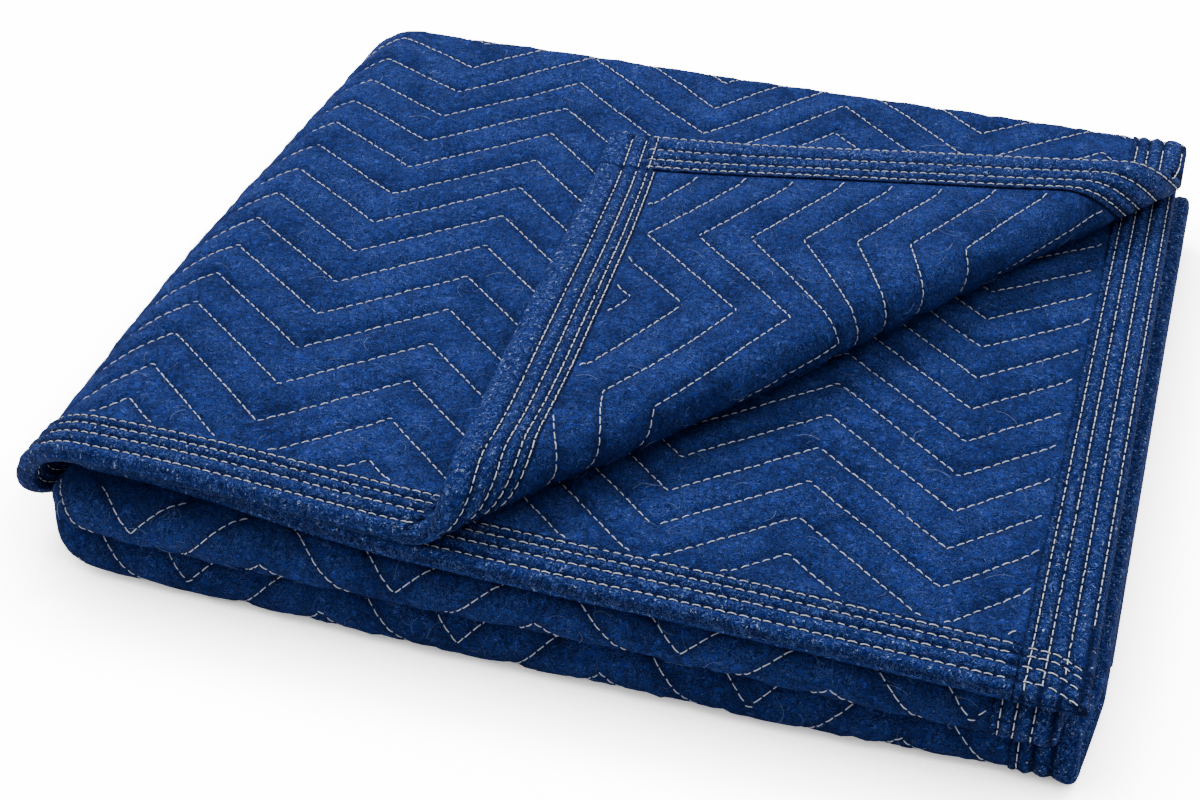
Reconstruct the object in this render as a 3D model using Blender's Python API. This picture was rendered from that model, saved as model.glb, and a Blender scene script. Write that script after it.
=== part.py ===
"""A quilted moving blanket, folded into quarters front to back and then in half at its left side,
with the free corner of the top layer turned back. One quilted panel and its four edge bindings."""

import bpy
import numpy as np
from mathutils import Vector
from mathutils.geometry import delaunay_2d_cdt

# Sizes in metres. The stack rests on Z = 0, with X to the right and Y to the back.
SHEET = 0.0086
STEP = 0.0095
LAYERS = 8
WIDTH = 0.508
BACK = 0.470
CENTRE_X, CENTRE_Y = 0.254, 0.245

# The left turn of the whole stack, about an axis along Y.
TURN_X = 0.026
TURN_LENGTH = 0.100
TURN_BULGE = 0.0035

# Flat lengths along the panel, from the top layer's front edge to the inner layer's front edge.
LONG_LAYER = 0.471
SHORT_LAYER = 0.463
OUTER_TURN = 0.045
FRONT_TURN = 0.030
INNER_TURN = 0.015

# Edge binding and the thinner edge of the panel inside it.
BINDING = 0.032
BINDING_WALL = 0.0011
BINDING_GAP = 0.0005
INSET = 0.0025
EDGE_HALF = SHEET / 2 - BINDING_WALL - BINDING_GAP
CORNER_SQUEEZE = 0.3
GROOVE = 0.0019
GROOVE_WIDTH = 0.0042

# The turned-back corner: a roll along a slanting line, then a flap lying on the top layer.
ROLL_POINT = np.array([0.2275, 0.0125])
ROLL_ANGLE = np.radians(56.0)
ROLL_RADIUS = 0.0115
ROLL_START = -0.0118
FLAP_FALL = np.radians(5.0)
FLAP_SKEW = 0.57
FLAP_SPREAD = 0.085
LEFT_SWELL = 0.0130
ROLL_BEND = 0.010
ALONG = np.array([np.cos(ROLL_ANGLE), np.sin(ROLL_ANGLE)])
ACROSS = np.array([np.sin(ROLL_ANGLE), -np.cos(ROLL_ANGLE)])

# At the front the lower half's inner fold hangs down to the surface over this depth.
DROP_START, DROP_END = 0.070, 0.010
DROP_STEPS = (0.066, 0.050, 0.034, 0.018)

MIDDLE = (LAYERS / 2 - 1) * STEP + SHEET / 2 + STEP / 2
RIGHT_FLAT = WIDTH
LOWER_RIGHT = 0.516
LEFT_FLAT = 2 * TURN_X - TURN_LENGTH - LOWER_RIGHT
TURN_END = TURN_X - TURN_LENGTH

B_BACK_OUT = LONG_LAYER
B_SECOND = B_BACK_OUT + OUTER_TURN
B_FRONT = B_SECOND + SHORT_LAYER
B_THIRD = B_FRONT + FRONT_TURN
B_BACK_IN = B_THIRD + SHORT_LAYER
B_FOURTH = B_BACK_IN + INNER_TURN
LENGTH = B_FOURTH + LONG_LAYER


def smooth(value, low, high):
    """0 below low, 1 above high, with level ends between."""
    t = np.clip((value - low) / (high - low), 0.0, 1.0)
    return t * t * (3 - 2 * t)


def blend(first, second, weight):
    return first + (second - first) * weight


def turn_angle(a):
    """0 over the upper half, pi under the stack, through the turn at the left."""
    return np.pi * np.clip((TURN_X - a) / TURN_LENGTH, 0.0, 1.0)


def middle_height(a, y, theta):
    """Height of the fold between the upper and the lower half: lower at the front, where nothing is under it."""
    front = 1 - smooth(y, DROP_END, DROP_START)
    x = np.where(a > TURN_X, a, np.where(a < TURN_END, 2 * TURN_X - TURN_LENGTH - a, 0.0))
    low = 0.0280 + 0.0026 * smooth(x, 0.10, 0.30) - 0.0022 * smooth(x, 0.36, 0.48)
    return blend(MIDDLE, low, front * (1 - 0.3 * np.sin(theta) ** 2))


def front_line(a, theta, kind):
    """Y of the front end of a layer. It steps back as the stack turns under at the left."""
    upper = theta / np.pi
    x = np.where(a > TURN_X, a, np.where(a < TURN_END, 2 * TURN_X - TURN_LENGTH - a, TURN_X))
    wave = 0.0012 * np.sin(15.0 * x + 0.6)
    if kind == "top":
        start = 0.002 - 0.004 * smooth(x, 0.05, 0.20) + wave
        start = start + 0.008 * smooth(upper, 0.0, 0.5)
        return blend(start, DROP_START + 0.006, smooth(upper, 0.40, 0.95))
    if kind == "inner":
        start = 0.010 - 0.013 * smooth(x, 0.03, 0.20) + wave
        start = start + 0.010 * smooth(upper, 0.0, 0.5)
        share = np.clip(upper / 0.92, 0.0, 1.0)
        share = blend(share, smooth(share, 0.0, 1.0), 0.45)
        return blend(start, DROP_START + 0.008, share)
    bulge = 0.0035 - 0.0015 * np.sin(9.0 * x) + 0.004 * smooth(x, 0.38, 0.50)
    lower = 0.0090 + 0.0030 * smooth(x, 0.18, 0.34) + 0.0050 * smooth(x, 0.36, 0.50)
    corner = 0.013 * np.exp(-(((upper - 0.42) / 0.26) ** 2))
    share = 0.6 if kind == "inside" else 1.0
    return blend(bulge, lower, smooth(upper, 0.3, 0.9)) + corner * share


def layer_heights(a, y, theta, number):
    """Heights of a layer's middle in the upper and in the lower half. Layers count from 1 at the top."""
    upper = theta / np.pi
    middle = middle_height(a, y, theta)
    front = 1 - smooth(y, DROP_END, DROP_START)
    drop = front * smooth(upper, 0.45, 1.0)
    if number == 1:
        return MIDDLE + 3.5 * STEP + 0 * middle, MIDDLE - 3.5 * STEP + 0 * middle
    if number == 4:
        return MIDDLE + 2.5 * STEP + 0 * middle, MIDDLE - 2.5 * STEP + 0 * middle
    if number == 2:
        return middle + 0.5 * STEP + 0.0003 * front, middle - 0.5 * STEP - 0.0003 * front
    high = MIDDLE + 1.5 * STEP - 0.0008 * front
    low = blend(middle - 1.5 * STEP, SHEET / 2 + 0.0003, drop)
    return high, low


def depth_path(a, b):
    """(y, upper height, lower height, middle height) of the panel's middle surface at the flat point a, b."""
    theta = turn_angle(a)
    shape = np.broadcast(a, b).shape
    a, b, theta = (np.broadcast_to(v, shape) for v in (a, b, theta))
    y, up, down = np.zeros(shape), np.zeros(shape), np.zeros(shape)

    top_front = front_line(a, theta, "top")
    inner_front = front_line(a, theta, "inner")
    nose = front_line(a, theta, "outside")
    nose_in = front_line(a, theta, "inside")

    part = b <= B_BACK_OUT
    y = np.where(part, blend(top_front, BACK, b / LONG_LAYER), y)
    part_y = np.where(part, y, 0.2)
    h = layer_heights(a, part_y, theta, 1)
    up, down = np.where(part, h[0], up), np.where(part, h[1], down)

    part = (b > B_BACK_OUT) & (b <= B_SECOND)
    turn = np.pi * (b - B_BACK_OUT) / OUTER_TURN
    high = MIDDLE + 2 * STEP + 1.5 * STEP * np.cos(turn)
    y = np.where(part, BACK + 1.5 * STEP * np.sin(turn), y)
    up, down = np.where(part, high, up), np.where(part, 2 * MIDDLE - high, down)

    part = (b > B_SECOND) & (b <= B_FRONT)
    line = blend(BACK, nose_in, (b - B_SECOND) / SHORT_LAYER)
    y = np.where(part, line, y)
    h = layer_heights(a, np.where(part, line, 0.2), theta, 2)
    up, down = np.where(part, h[0], up), np.where(part, h[1], down)

    part = (b > B_FRONT) & (b <= B_THIRD)
    turn = np.pi * (b - B_FRONT) / FRONT_TURN
    first = layer_heights(a, nose_in, theta, 2)
    second = layer_heights(a, nose, theta, 3)
    radius = blend((second[0] - first[0]) / 2, (first[1] - second[1]) / 2, smooth(theta / np.pi, 0.0, 1.0))
    ratio = (1 - np.cos(turn)) / 2
    y = np.where(part, blend(nose_in, nose, ratio) - radius * np.sin(turn), y)
    up = np.where(part, blend(first[0], second[0], ratio), up)
    down = np.where(part, blend(first[1], second[1], ratio), down)

    part = (b > B_THIRD) & (b <= B_BACK_IN)
    line = blend(nose, BACK, (b - B_THIRD) / SHORT_LAYER)
    y = np.where(part, line, y)
    h = layer_heights(a, np.where(part, line, 0.2), theta, 3)
    up, down = np.where(part, h[0], up), np.where(part, h[1], down)

    part = (b > B_BACK_IN) & (b <= B_FOURTH)
    turn = np.pi * (b - B_BACK_IN) / INNER_TURN
    high = MIDDLE + 2 * STEP - 0.5 * STEP * np.cos(turn)
    y = np.where(part, BACK + 0.5 * STEP * np.sin(turn), y)
    up, down = np.where(part, high, up), np.where(part, 2 * MIDDLE - high, down)

    part = b > B_FOURTH
    line = blend(BACK, inner_front, (b - B_FOURTH) / LONG_LAYER)
    y = np.where(part, line, y)
    h = layer_heights(a, np.where(part, line, 0.2), theta, 4)
    up, down = np.where(part, h[0], up), np.where(part, h[1], down)
    return y, up, down, middle_height(a, y, theta)


def right_end(b, upper):
    """How far each layer's right edge stands from the nominal edge, along the panel."""
    out, back = DROP_STEPS[2], B_BACK_IN
    stops = [0, B_BACK_OUT, B_SECOND, B_FRONT - out, B_FRONT, B_THIRD, B_THIRD + out, back, B_FOURTH, LENGTH]
    if upper:
        moves = [0.0, 0.001, -0.001, -0.003, -0.010, -0.010, -0.004, -0.002, -0.001, -0.0005]
    else:
        moves = [-0.001, 0.001, 0.001, -0.002, -0.008, -0.006, -0.001, 0.0, 0.001, 0.0]
    return np.interp(b, stops, moves)


def roll_curve():
    """Samples of the turned corner's section: (distance along the sheet, across, up)."""
    s = np.linspace(0.0, 0.30, 1201)
    arc = (np.pi + FLAP_FALL) * ROLL_RADIUS
    ease = 0.006
    rate = smooth(s, -ease, ease * 2) * (1 - smooth(s, arc - ease + 0.003, arc + ease + 0.003)) / ROLL_RADIUS
    angle = np.concatenate([[0.0], np.cumsum((rate[1:] + rate[:-1]) / 2 * np.diff(s))])
    angle *= (np.pi + FLAP_FALL) / angle[-1]
    up = np.concatenate([[0.0], np.cumsum(np.sin((angle[1:] + angle[:-1]) / 2) * np.diff(s))])
    rest = SHEET + 0.0012
    crest = np.argmax(up)
    land = np.where((up < rest + 0.004) & (np.arange(s.size) > crest))[0]
    if land.size:
        start = land[0]
        reach = s - s[start]
        angle = np.where(reach > 0, np.pi + FLAP_FALL * (1 - smooth(reach, 0.0, 0.085)), angle)
    step = np.diff(s)
    mid = (angle[1:] + angle[:-1]) / 2
    up = np.concatenate([[0.0], np.cumsum(np.sin(mid) * step)])
    across = np.concatenate([[0.0], np.cumsum(np.cos(mid) * step)])
    return s, across, up


ROLL = roll_curve()


def roll_bend(along):
    """The roll starts a little earlier near the front edge, where the corner lifts more gently."""
    return ROLL_BEND * (1 - smooth(along, -0.02, 0.15))


def flap_spread(s):
    """How much further than its own length the laid-back flap reaches at a distance along the sheet."""
    reach = np.maximum(s - 0.055, 0.0)
    return FLAP_SPREAD * np.where(reach < 0.030, reach**2 / 0.060, reach - 0.015)


def turn_corner(x, y, z):
    """Rolls the part of the top layer beyond the slanting line over, and lays it back to the left."""
    flat = np.stack([x - ROLL_POINT[0], y - ROLL_POINT[1]], -1)
    along = flat @ ALONG
    bend = roll_bend(along)
    s = flat @ ACROSS - ROLL_START + bend
    past = s > 0
    clipped = np.clip(s, 0.0, 0.2999)
    across = np.interp(clipped, ROLL[0], ROLL[1]) - flap_spread(clipped)
    up = np.interp(clipped, ROLL[0], ROLL[2])
    skew = FLAP_SKEW * np.where(clipped < 0.040, 0.5 * np.maximum(clipped - 0.020, 0) ** 2 / 0.020, clipped - 0.030)
    place = ROLL_START - bend + across
    new_x = ROLL_POINT[0] + place * ACROSS[0] + (along + skew) * ALONG[0]
    new_y = ROLL_POINT[1] + place * ACROSS[1] + (along + skew) * ALONG[1]
    return np.where(past, new_x, x), np.where(past, new_y, y), np.where(past, z + up, z)


def settle(x, y, z):
    """The soft stack lies lower towards its front right corner, and its top is a little uneven."""
    low = 0.085 * smooth(x, 0.30, 0.50) * (1 - smooth(y, 0.02, 0.30))
    swell = 0.011 * np.sin(11.0 * x + 0.5) * np.cos(9.0 * y + 0.3) + 0.003 * np.sin(21.0 * x - 15.0 * y)
    return z * (1 - low + swell)


def middle_surface(a, b):
    """The panel's middle surface in its folded shape."""
    a, b = np.broadcast_arrays(np.asarray(a, float), np.asarray(b, float))
    theta = turn_angle(a)
    y, up, down, middle = depth_path(a, b)
    weight = (1 - np.cos(theta)) / 2
    radius = blend(up - middle, middle - down, weight)
    radius = radius + TURN_BULGE * np.sin(theta) ** 2
    ramp = smooth(a, 0.40, WIDTH)
    ramp_low = smooth(-a, -LEFT_FLAT - 0.11, -LEFT_FLAT)
    x_up = a + right_end(b, True) * ramp
    x_low = 2 * TURN_X - TURN_LENGTH - a + right_end(b, False) * ramp_low
    x = np.where(a >= TURN_X, x_up, np.where(a <= TURN_END, x_low, TURN_X - radius * np.sin(theta)))
    z = np.where(a >= TURN_X, up, np.where(a <= TURN_END, down, middle + radius * np.cos(theta)))
    top = (b <= B_BACK_OUT) & (a > 0.10)
    rx, ry, rz = turn_corner(x, y, z)
    x, y, z = np.where(top, rx, x), np.where(top, ry, y), np.where(top, rz, z)
    return np.stack([x, y, z], -1)


def lean(x, y):
    """The stack's turned left side stands a little further out towards its back."""
    return x - LEFT_SWELL * smooth(y, -0.04, 0.24) * (1 - smooth(x, -0.03, 0.36))


def place(a, b, n):
    """World positions of points n above the panel's middle surface, on its outer side where n is positive."""
    a, b, n = np.broadcast_arrays(np.asarray(a, float), np.asarray(b, float), np.asarray(n, float))
    d = 0.0004
    along_a = middle_surface(a + d, b) - middle_surface(a - d, b)
    along_b = middle_surface(a, b + d) - middle_surface(a, b - d)
    normal = np.cross(along_a, along_b)
    normal /= np.linalg.norm(normal, axis=-1, keepdims=True)
    point = middle_surface(a, b) + normal * n[..., None]
    x, y, z = point[..., 0], point[..., 1], point[..., 2]
    return np.stack([lean(x, y) - CENTRE_X, y - CENTRE_Y, settle(x, y, z)], -1)


# ==== build ====
def front_width(a):
    """Width of the outer front binding, wider in the flat where the turned corner draws it in."""
    return BINDING * (1 + 0.32 * smooth(a, 0.215, 0.28))


def top_b(a, y):
    """The flat distance b on the top layer for a depth y."""
    front = front_line(a, turn_angle(a), "top")
    return (y - front) / (BACK - front) * LONG_LAYER


def inner_b(a, y):
    """The flat distance b on the layer under the top one for a depth y."""
    front = front_line(a, turn_angle(a), "inner")
    return B_FOURTH + (BACK - y) / (BACK - front) * LONG_LAYER


def roll_distance(a, y):
    """How far past the roll's first line a point of the flat top layer lies."""
    along = (a - ROLL_POINT[0]) * ALONG[0] + (y - ROLL_POINT[1]) * ALONG[1]
    across = (a - ROLL_POINT[0]) * ACROSS[0] + (y - ROLL_POINT[1]) * ACROSS[1]
    return across - ROLL_START + roll_bend(along)


def top_row(r):
    """One zigzag row of the quilting on the top layer, from the left turn to the right edge."""
    first = 0.461 - 0.0293 * (r - 1)
    valley = 0.4615 - 0.0317 * r
    peak = 0.468 - 0.0327 * (r - 2)
    valley_2 = 0.462 - 0.0315 * r
    peak_2 = 0.456 - 0.0325 * (r - 2)
    valley_3 = 0.450 - 0.0325 * r
    corners = [
        (-0.133, first + 0.004),
        (-0.062, first - 0.056),
        (0.004 + 0.063 * (0.46 - first), first),
        (0.067 + 0.082 * (0.46 - valley), valley),
        (0.1425 + 0.064 * (0.46 - peak), peak),
        (0.2285 + 0.05 * (0.46 - valley_2), valley_2),
        (0.3025 + 0.03 * (0.46 - peak_2), peak_2),
        (0.3885, valley_3),
        (0.460, valley_3 + 0.065),
        (0.530, valley_3),
    ]
    return [(x, float(top_b(np.float64(x), y))) for x, y in corners]


def inner_row(m):
    """One zigzag row on the layer that the turned corner uncovers."""
    left = 0.1036 - 0.0263 * (m - 7)
    peak = 0.1869 - 0.0271 * (m - 6)
    valley = 0.2939 - 0.02735 * m
    corners = [
        (0.165, left),
        (0.235, left + 0.056),
        (0.2992 + 0.03 * (0.1036 - left), left),
        (0.3586 + 0.045 * (0.187 - peak), peak),
        (0.420 + 0.063 * (0.294 - valley), valley),
        (0.492, valley + 0.056),
        (0.545, valley + 0.012),
    ]
    return [(x, float(inner_b(np.float64(x), y))) for x, y in corners]


FLAP_REACH = np.linspace(-0.270, 0.2999, 571)
FLAP_ACROSS = np.interp(np.maximum(FLAP_REACH, 0.030), ROLL[0], ROLL[1]) - flap_spread(FLAP_REACH)
FLAP_ACROSS = FLAP_ACROSS + np.maximum(0.030 - FLAP_REACH, 0.0)


def flap_point(x, y):
    """The flat point of the top layer that comes to lie at x, y on the turned-back flap."""
    across = (x - ROLL_POINT[0]) * ACROSS[0] + (y - ROLL_POINT[1]) * ACROSS[1] - ROLL_START
    along = (x - ROLL_POINT[0]) * ALONG[0] + (y - ROLL_POINT[1]) * ALONG[1]
    bend = 0.0
    for _ in range(4):
        s = float(np.interp(-across - bend, -FLAP_ACROSS, FLAP_REACH))
        skew = FLAP_SKEW * (s - 0.030 if s > 0.040 else 0.5 * max(s - 0.020, 0.0) ** 2 / 0.020)
        bend = float(roll_bend(along - skew))
    return roll_point(s, along - skew)


def flap_row(n):
    """One zigzag row on the underside of the turned corner, across the flap's own length."""
    x = 0.236 + 0.0287 * n
    tilt = 0.0045 * n
    corners = [
        (x + 0.040, 0.345 + tilt),
        (x, 0.262 + tilt),
        (x + 0.040, 0.186 + tilt * 0.6),
        (x + 0.001, 0.101 + tilt * 0.2),
        (x + 0.040, 0.018),
        (x, -0.060),
    ]
    return [flap_point(*corner) for corner in corners]


def band_row(k, start, end, middle, first_up):
    """One zigzag row across a front fold band; start and end are flat a, middle is the band's flat b."""
    points = []
    count = int(round(abs(end - start) / 0.070))
    for i in range(count + 1):
        up = (i + first_up) % 2 == 0
        points.append((start + (end - start) * i / count, middle + 0.029 * k + (0.029 if up else -0.029)))
    return points


def clip(points, inside, spacing):
    """The runs of a polyline that lie inside a region, thinned to its corners and to points at most spacing apart."""
    fine, corner = [], []
    for p, q in zip(points[:-1], points[1:]):
        p, q = np.array(p), np.array(q)
        steps = max(2, int(np.linalg.norm(q - p) / 0.0015))
        for i in range(steps):
            fine.append(p + (q - p) * i / steps)
            corner.append(i == 0)
    fine.append(np.array(points[-1]))
    corner.append(True)
    fine = np.array(fine)
    keep = inside(fine[:, 0], fine[:, 1])
    runs, run = [], []
    for i in range(len(fine)):
        if keep[i]:
            run.append(i)
        if run and (not keep[i] or i == len(fine) - 1):
            if len(run) > 4:
                runs.append(run)
            run = []
    lines = []
    for run in runs:
        marks = [run[0]] + [i for i in run[1:-1] if corner[i]] + [run[-1]]
        line = []
        for i, j in zip(marks[:-1], marks[1:]):
            count = max(1, int(np.ceil(np.linalg.norm(fine[j] - fine[i]) / spacing)))
            line += [fine[i] + (fine[j] - fine[i]) * k / count for k in range(count)]
        line.append(fine[marks[-1]])
        lines.append(line)
    return lines


PAD = 0.0042


def in_top(a, b):
    """Where the top layer's outer face is quilted and not turned back."""
    y = front_line(a, turn_angle(a), "top") + b / LONG_LAYER * (BACK - 0.002)
    edge = (b > front_width(a) + PAD) & (a < WIDTH - BINDING - PAD)
    return edge & (a > TURN_X - 0.034) & (b < B_SECOND - 0.020) & (roll_distance(a, y) < -0.006)


def in_flap(a, b):
    """Where the turned corner is quilted."""
    y = front_line(a, turn_angle(a), "top") + b / LONG_LAYER * (BACK - 0.002)
    edge = (b > front_width(a) + PAD) & (a < WIDTH - BINDING - PAD)
    return edge & (b < B_BACK_OUT - 0.01) & (roll_distance(a, y) > 0.004)


def in_inner(a, b):
    """Where the layer under the turned corner shows."""
    y = BACK - (b - B_FOURTH) / LONG_LAYER * (BACK + 0.002)
    edge = (b < LENGTH - BINDING - PAD) & (a < WIDTH - BINDING - PAD)
    return edge & (a > 0.19) & (b > B_FOURTH + 0.01) & (roll_distance(a, y) > -0.030)


def in_upper_band(a, b):
    return (b > B_FRONT - 0.016) & (b < B_THIRD + 0.004) & (a > 0.012) & (a < WIDTH - BINDING - PAD)


def in_lower_band(a, b):
    low = LEFT_FLAT + BINDING + PAD
    return (b > B_FRONT - 0.004) & (b < B_THIRD + 0.012) & (a < TURN_END + 0.004) & (a > low)


def quilt_lines():
    """(grooves, crests): the quilting as polylines in the flat."""
    grooves, crests = [], []
    for kind, spacing in ((0.0, 0.10), (0.5, 0.10)):
        out = grooves if kind == 0.0 else crests
        for r in range(-4, 18):
            out += clip(top_row(r + kind), in_top, spacing)
        for m in range(-5, 15):
            out += clip(inner_row(m + kind), in_inner, spacing)
        for n in range(-3, 12):
            out += clip(flap_row(n + kind), in_flap, spacing)
    middle = (B_FRONT + B_THIRD) / 2
    for k in range(-2, 3):
        grooves += clip(band_row(k, 0.535, -0.01, middle, 0), in_upper_band, 0.05)
        grooves += clip(band_row(k, -0.09, -0.58, middle, 1), in_lower_band, 0.05)
    return grooves, crests


def fold_lines():
    """Lines along and across the panel that let it bend."""
    lines = []
    low, high = LEFT_FLAT + INSET, WIDTH - INSET

    def cross(b, start=low, end=high, step=0.09):
        count = max(1, int(round((end - start) / step)))
        lines.append([(start + (end - start) * i / count, b) for i in range(count + 1)])

    def along(a, start=INSET, end=LENGTH - INSET, step=0.11):
        count = max(1, int(round((end - start) / step)))
        lines.append([(a, start + (end - start) * i / count) for i in range(count + 1)])

    for i in range(7):
        cross(B_BACK_OUT + OUTER_TURN * i / 6)
    for i in range(8):
        cross(B_FRONT + FRONT_TURN * i / 7)
    for i in range(5):
        cross(B_BACK_IN + INNER_TURN * i / 4)
    for depth in DROP_STEPS:
        cross(B_FRONT - depth)
        cross(B_THIRD + depth)
    for i in range(11):
        along(TURN_X - TURN_LENGTH * i / 10)
    for a in (0.15, 0.33):
        along(a, B_BACK_OUT, LENGTH - INSET, 0.2)
    for a in (-0.22, -0.40):
        along(a, step=0.2)
    return lines


ROLL_STEPS = (0.0, 0.006, 0.012, 0.018, 0.024, 0.030, 0.037, 0.046, 0.062, 0.080, 0.100, 0.124, 0.160)


def roll_point(s, along):
    """The flat point of the top layer at a distance past the roll's first line."""
    p = ROLL_POINT + (s + ROLL_START - roll_bend(along)) * ACROSS + along * ALONG
    return float(p[0]), float(top_b(p[0], p[1]))


def follow_roll(s, index, target):
    """The flat point on the roll's line s where its a (index 0) or b (index 1) meets the target."""
    along = 0.0 if index else 0.5
    for _ in range(12):
        point = roll_point(s, along)
        along += (target - point[index]) / ALONG[index]
    return roll_point(s, along)


def spread(*stops):
    """Stations straight across an edge, from a first value and then (value, count) steps."""
    values = [stops[0]]
    for end, count in stops[1:]:
        values += list(np.linspace(values[-1], end, count + 1)[1:])
    return [("flat", float(v)) for v in values]


def front_spot(station, inward):
    kind, value = station
    return follow_roll(value, 1, inward) if kind == "roll" else (value, inward)


def front_back_spot(station, inward):
    return station[1], LENGTH - inward


def side_spot(station, inward):
    kind, value = station
    return follow_roll(value, 0, WIDTH - inward) if kind == "roll" else (WIDTH - inward, value)


def side_low_spot(station, inward):
    return LEFT_FLAT + inward, station[1]


def plain_width(edge):
    return BINDING


def outer_width(edge):
    return float(front_width(edge[0]))


JOIN = 0.0004
ROLLED = [("roll", s) for s in ROLL_STEPS]
LOW_STOPS = ((-0.40, 3), (-0.22, 2), (TURN_END, 2), (TURN_X, 10))
DROPS_IN = tuple((B_FRONT - d, 1) for d in DROP_STEPS)
DROPS_OUT = tuple((B_THIRD + d, 1) for d in DROP_STEPS[::-1])
FRONT_OUT = spread(LEFT_FLAT + BINDING + JOIN, *LOW_STOPS, (0.15, 4)) + ROLLED
FRONT_OUT += spread(WIDTH - BINDING - JOIN)
FRONT_IN = spread(LEFT_FLAT + BINDING + JOIN, *LOW_STOPS, (0.15, 4), (0.33, 4), (WIDTH - BINDING - JOIN, 4))
AROUND = ((B_SECOND, 6), *DROPS_IN, (B_FRONT, 1), (B_THIRD, 7), *DROPS_OUT, (B_BACK_IN, 1), (B_FOURTH, 4))
SIDE_UP = spread(0.0, (0.086, 2)) + ROLLED[::-1] + spread(B_BACK_OUT, *AROUND, (LENGTH, 8))
SIDE_LOW = spread(0.0, (B_BACK_OUT, 4), *AROUND, (LENGTH, 4))
EDGES = (
    ("binding_front_outer", FRONT_OUT, front_spot, outer_width),
    ("binding_side_upper", SIDE_UP, side_spot, plain_width),
    ("binding_front_inner", FRONT_IN, front_back_spot, plain_width),
    ("binding_side_lower", SIDE_LOW, side_low_spot, plain_width),
)


def inner_reach(station, spot, width, extra):
    """The distance from the panel's edge, along a station, to the binding's inner edge and a little more."""
    inward = width(spot(station, 0.0)) + extra
    for _ in range(5):
        inward = width(spot(station, inward)) + extra
    return inward


def in_panel(point):
    """The nearest point of the panel, which ends a little inside its bindings."""
    a, b = point
    a = min(max(a, LEFT_FLAT + INSET), WIDTH - INSET)
    return a, min(max(b, INSET), LENGTH - INSET)


def edge_lines():
    """Lines where the panel thins inside its bindings, and lines across its edge where the bindings have theirs."""
    lines = []
    for _, stations, spot, width in EDGES:
        rims = []
        for extra in (0.0008, 0.0036):
            rim = [spot(station, inner_reach(station, spot, width, extra)) for station in stations]
            rims.append([in_panel(point) for point in rim])
        lines += rims
        starts = [in_panel(spot(station, INSET)) for station in stations]
        for station, start, end in zip(stations, starts, rims[0]):
            if station[0] == "flat":
                lines.append([start, end])
        for start, end in zip(starts[:-1], rims[0][1:]):
            lines.append([start, end])
    return lines


def roll_lines():
    """Lines along the turned corner's roll and across its flap, from the front edge to the right edge."""
    front, side = EDGES[0], EDGES[1]
    lines = []
    for s in ROLL_STEPS:
        line = [front_spot(("roll", s), INSET)]
        line += [front_spot(("roll", s), inner_reach(("roll", s), front[2], front[3], e)) for e in (0.0008, 0.0036)]
        end = [side_spot(("roll", s), inner_reach(("roll", s), side[2], side[3], e)) for e in (0.0036, 0.0008)]
        count = 3 if s > 0.05 else 6
        for i in range(1, count):
            line.append(follow_roll(s, 1, line[2][1] + (end[0][1] - line[2][1]) * i / count))
        lines.append(line + end + [side_spot(("roll", s), INSET)])
    return lines


def border_line():
    """The panel's own outline inside its bindings, with its points where the bindings have theirs."""
    front, right, back, left = ([spot(station, INSET) for station in stations] for _, stations, spot, _ in EDGES)
    low_a, high_a, low_b, high_b = LEFT_FLAT + INSET, WIDTH - INSET, INSET, LENGTH - INSET
    line = [(low_a, low_b)] + front + [(high_a, low_b)]
    line += right[1:-1] + [(high_a, high_b)]
    line += back[::-1] + [(low_a, high_b)]
    line += left[::-1][1:-1]
    return line + [line[0]]


def triangulate(lines):
    """Flat points and triangles of the whole panel, with every line kept as edges."""
    points, edges = [], []
    for line in [border_line()] + lines:
        start = len(points)
        points += [Vector((float(p[0]), float(p[1]))) for p in line]
        edges += [(start + i, start + i + 1) for i in range(len(line) - 1)]
    found = delaunay_2d_cdt(points, edges, [], 0, 2e-5)
    flat = np.array([(p.x, p.y) for p in found[0]])
    return flat, np.array(found[2])


def distance_to(points, lines):
    """The distance of each point from the nearest of the polylines."""
    nearest = np.full(len(points), 1.0)
    for line in lines:
        line = np.array(line)
        for p, q in zip(line[:-1], line[1:]):
            reach = q - p
            t = np.clip((points - p) @ reach / max(reach @ reach, 1e-12), 0.0, 1.0)
            gap = points - p - t[:, None] * reach
            nearest = np.minimum(nearest, np.hypot(gap[:, 0], gap[:, 1]))
    return nearest


def half_thickness(flat, grooves):
    """Half the panel's thickness: full between the stitch rows, less along them and inside the bindings."""
    gap = distance_to(flat, grooves)
    half = SHEET / 2 - GROOVE * np.exp(-((gap / GROOVE_WIDTH) ** 2))
    a, b = flat[:, 0], flat[:, 1]
    inset = np.minimum(np.minimum(b - front_width(a), LENGTH - BINDING - b), WIDTH - BINDING - a)
    inset = np.minimum(inset, a - LEFT_FLAT - BINDING)
    half = np.where(inset < 0.0012, EDGE_HALF, half)
    fold = np.maximum(np.maximum(B_FRONT - 0.08 - b, b - B_THIRD), 0.0) / 0.014
    turn = np.maximum(np.abs(a - TURN_X + TURN_LENGTH / 2) - TURN_LENGTH / 2, 0.0) / 0.014
    return half * (1 - CORNER_SQUEEZE * np.exp(-(fold**2) - turn**2))


def add_node(name, points, faces, colour, roughness):
    mesh = bpy.data.meshes.new(name)
    mesh.from_pydata([tuple(p) for p in points], [], [tuple(int(i) for i in f) for f in faces])
    mesh.validate()
    body = bpy.data.objects.new(name, mesh)
    bpy.context.scene.collection.objects.link(body)
    material = bpy.data.materials.new(name)
    material.use_nodes = True
    shader = material.node_tree.nodes["Principled BSDF"]
    shader.inputs["Base Color"].default_value = (*colour, 1.0)
    shader.inputs["Roughness"].default_value = roughness
    mesh.materials.append(material)
    return body


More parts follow.
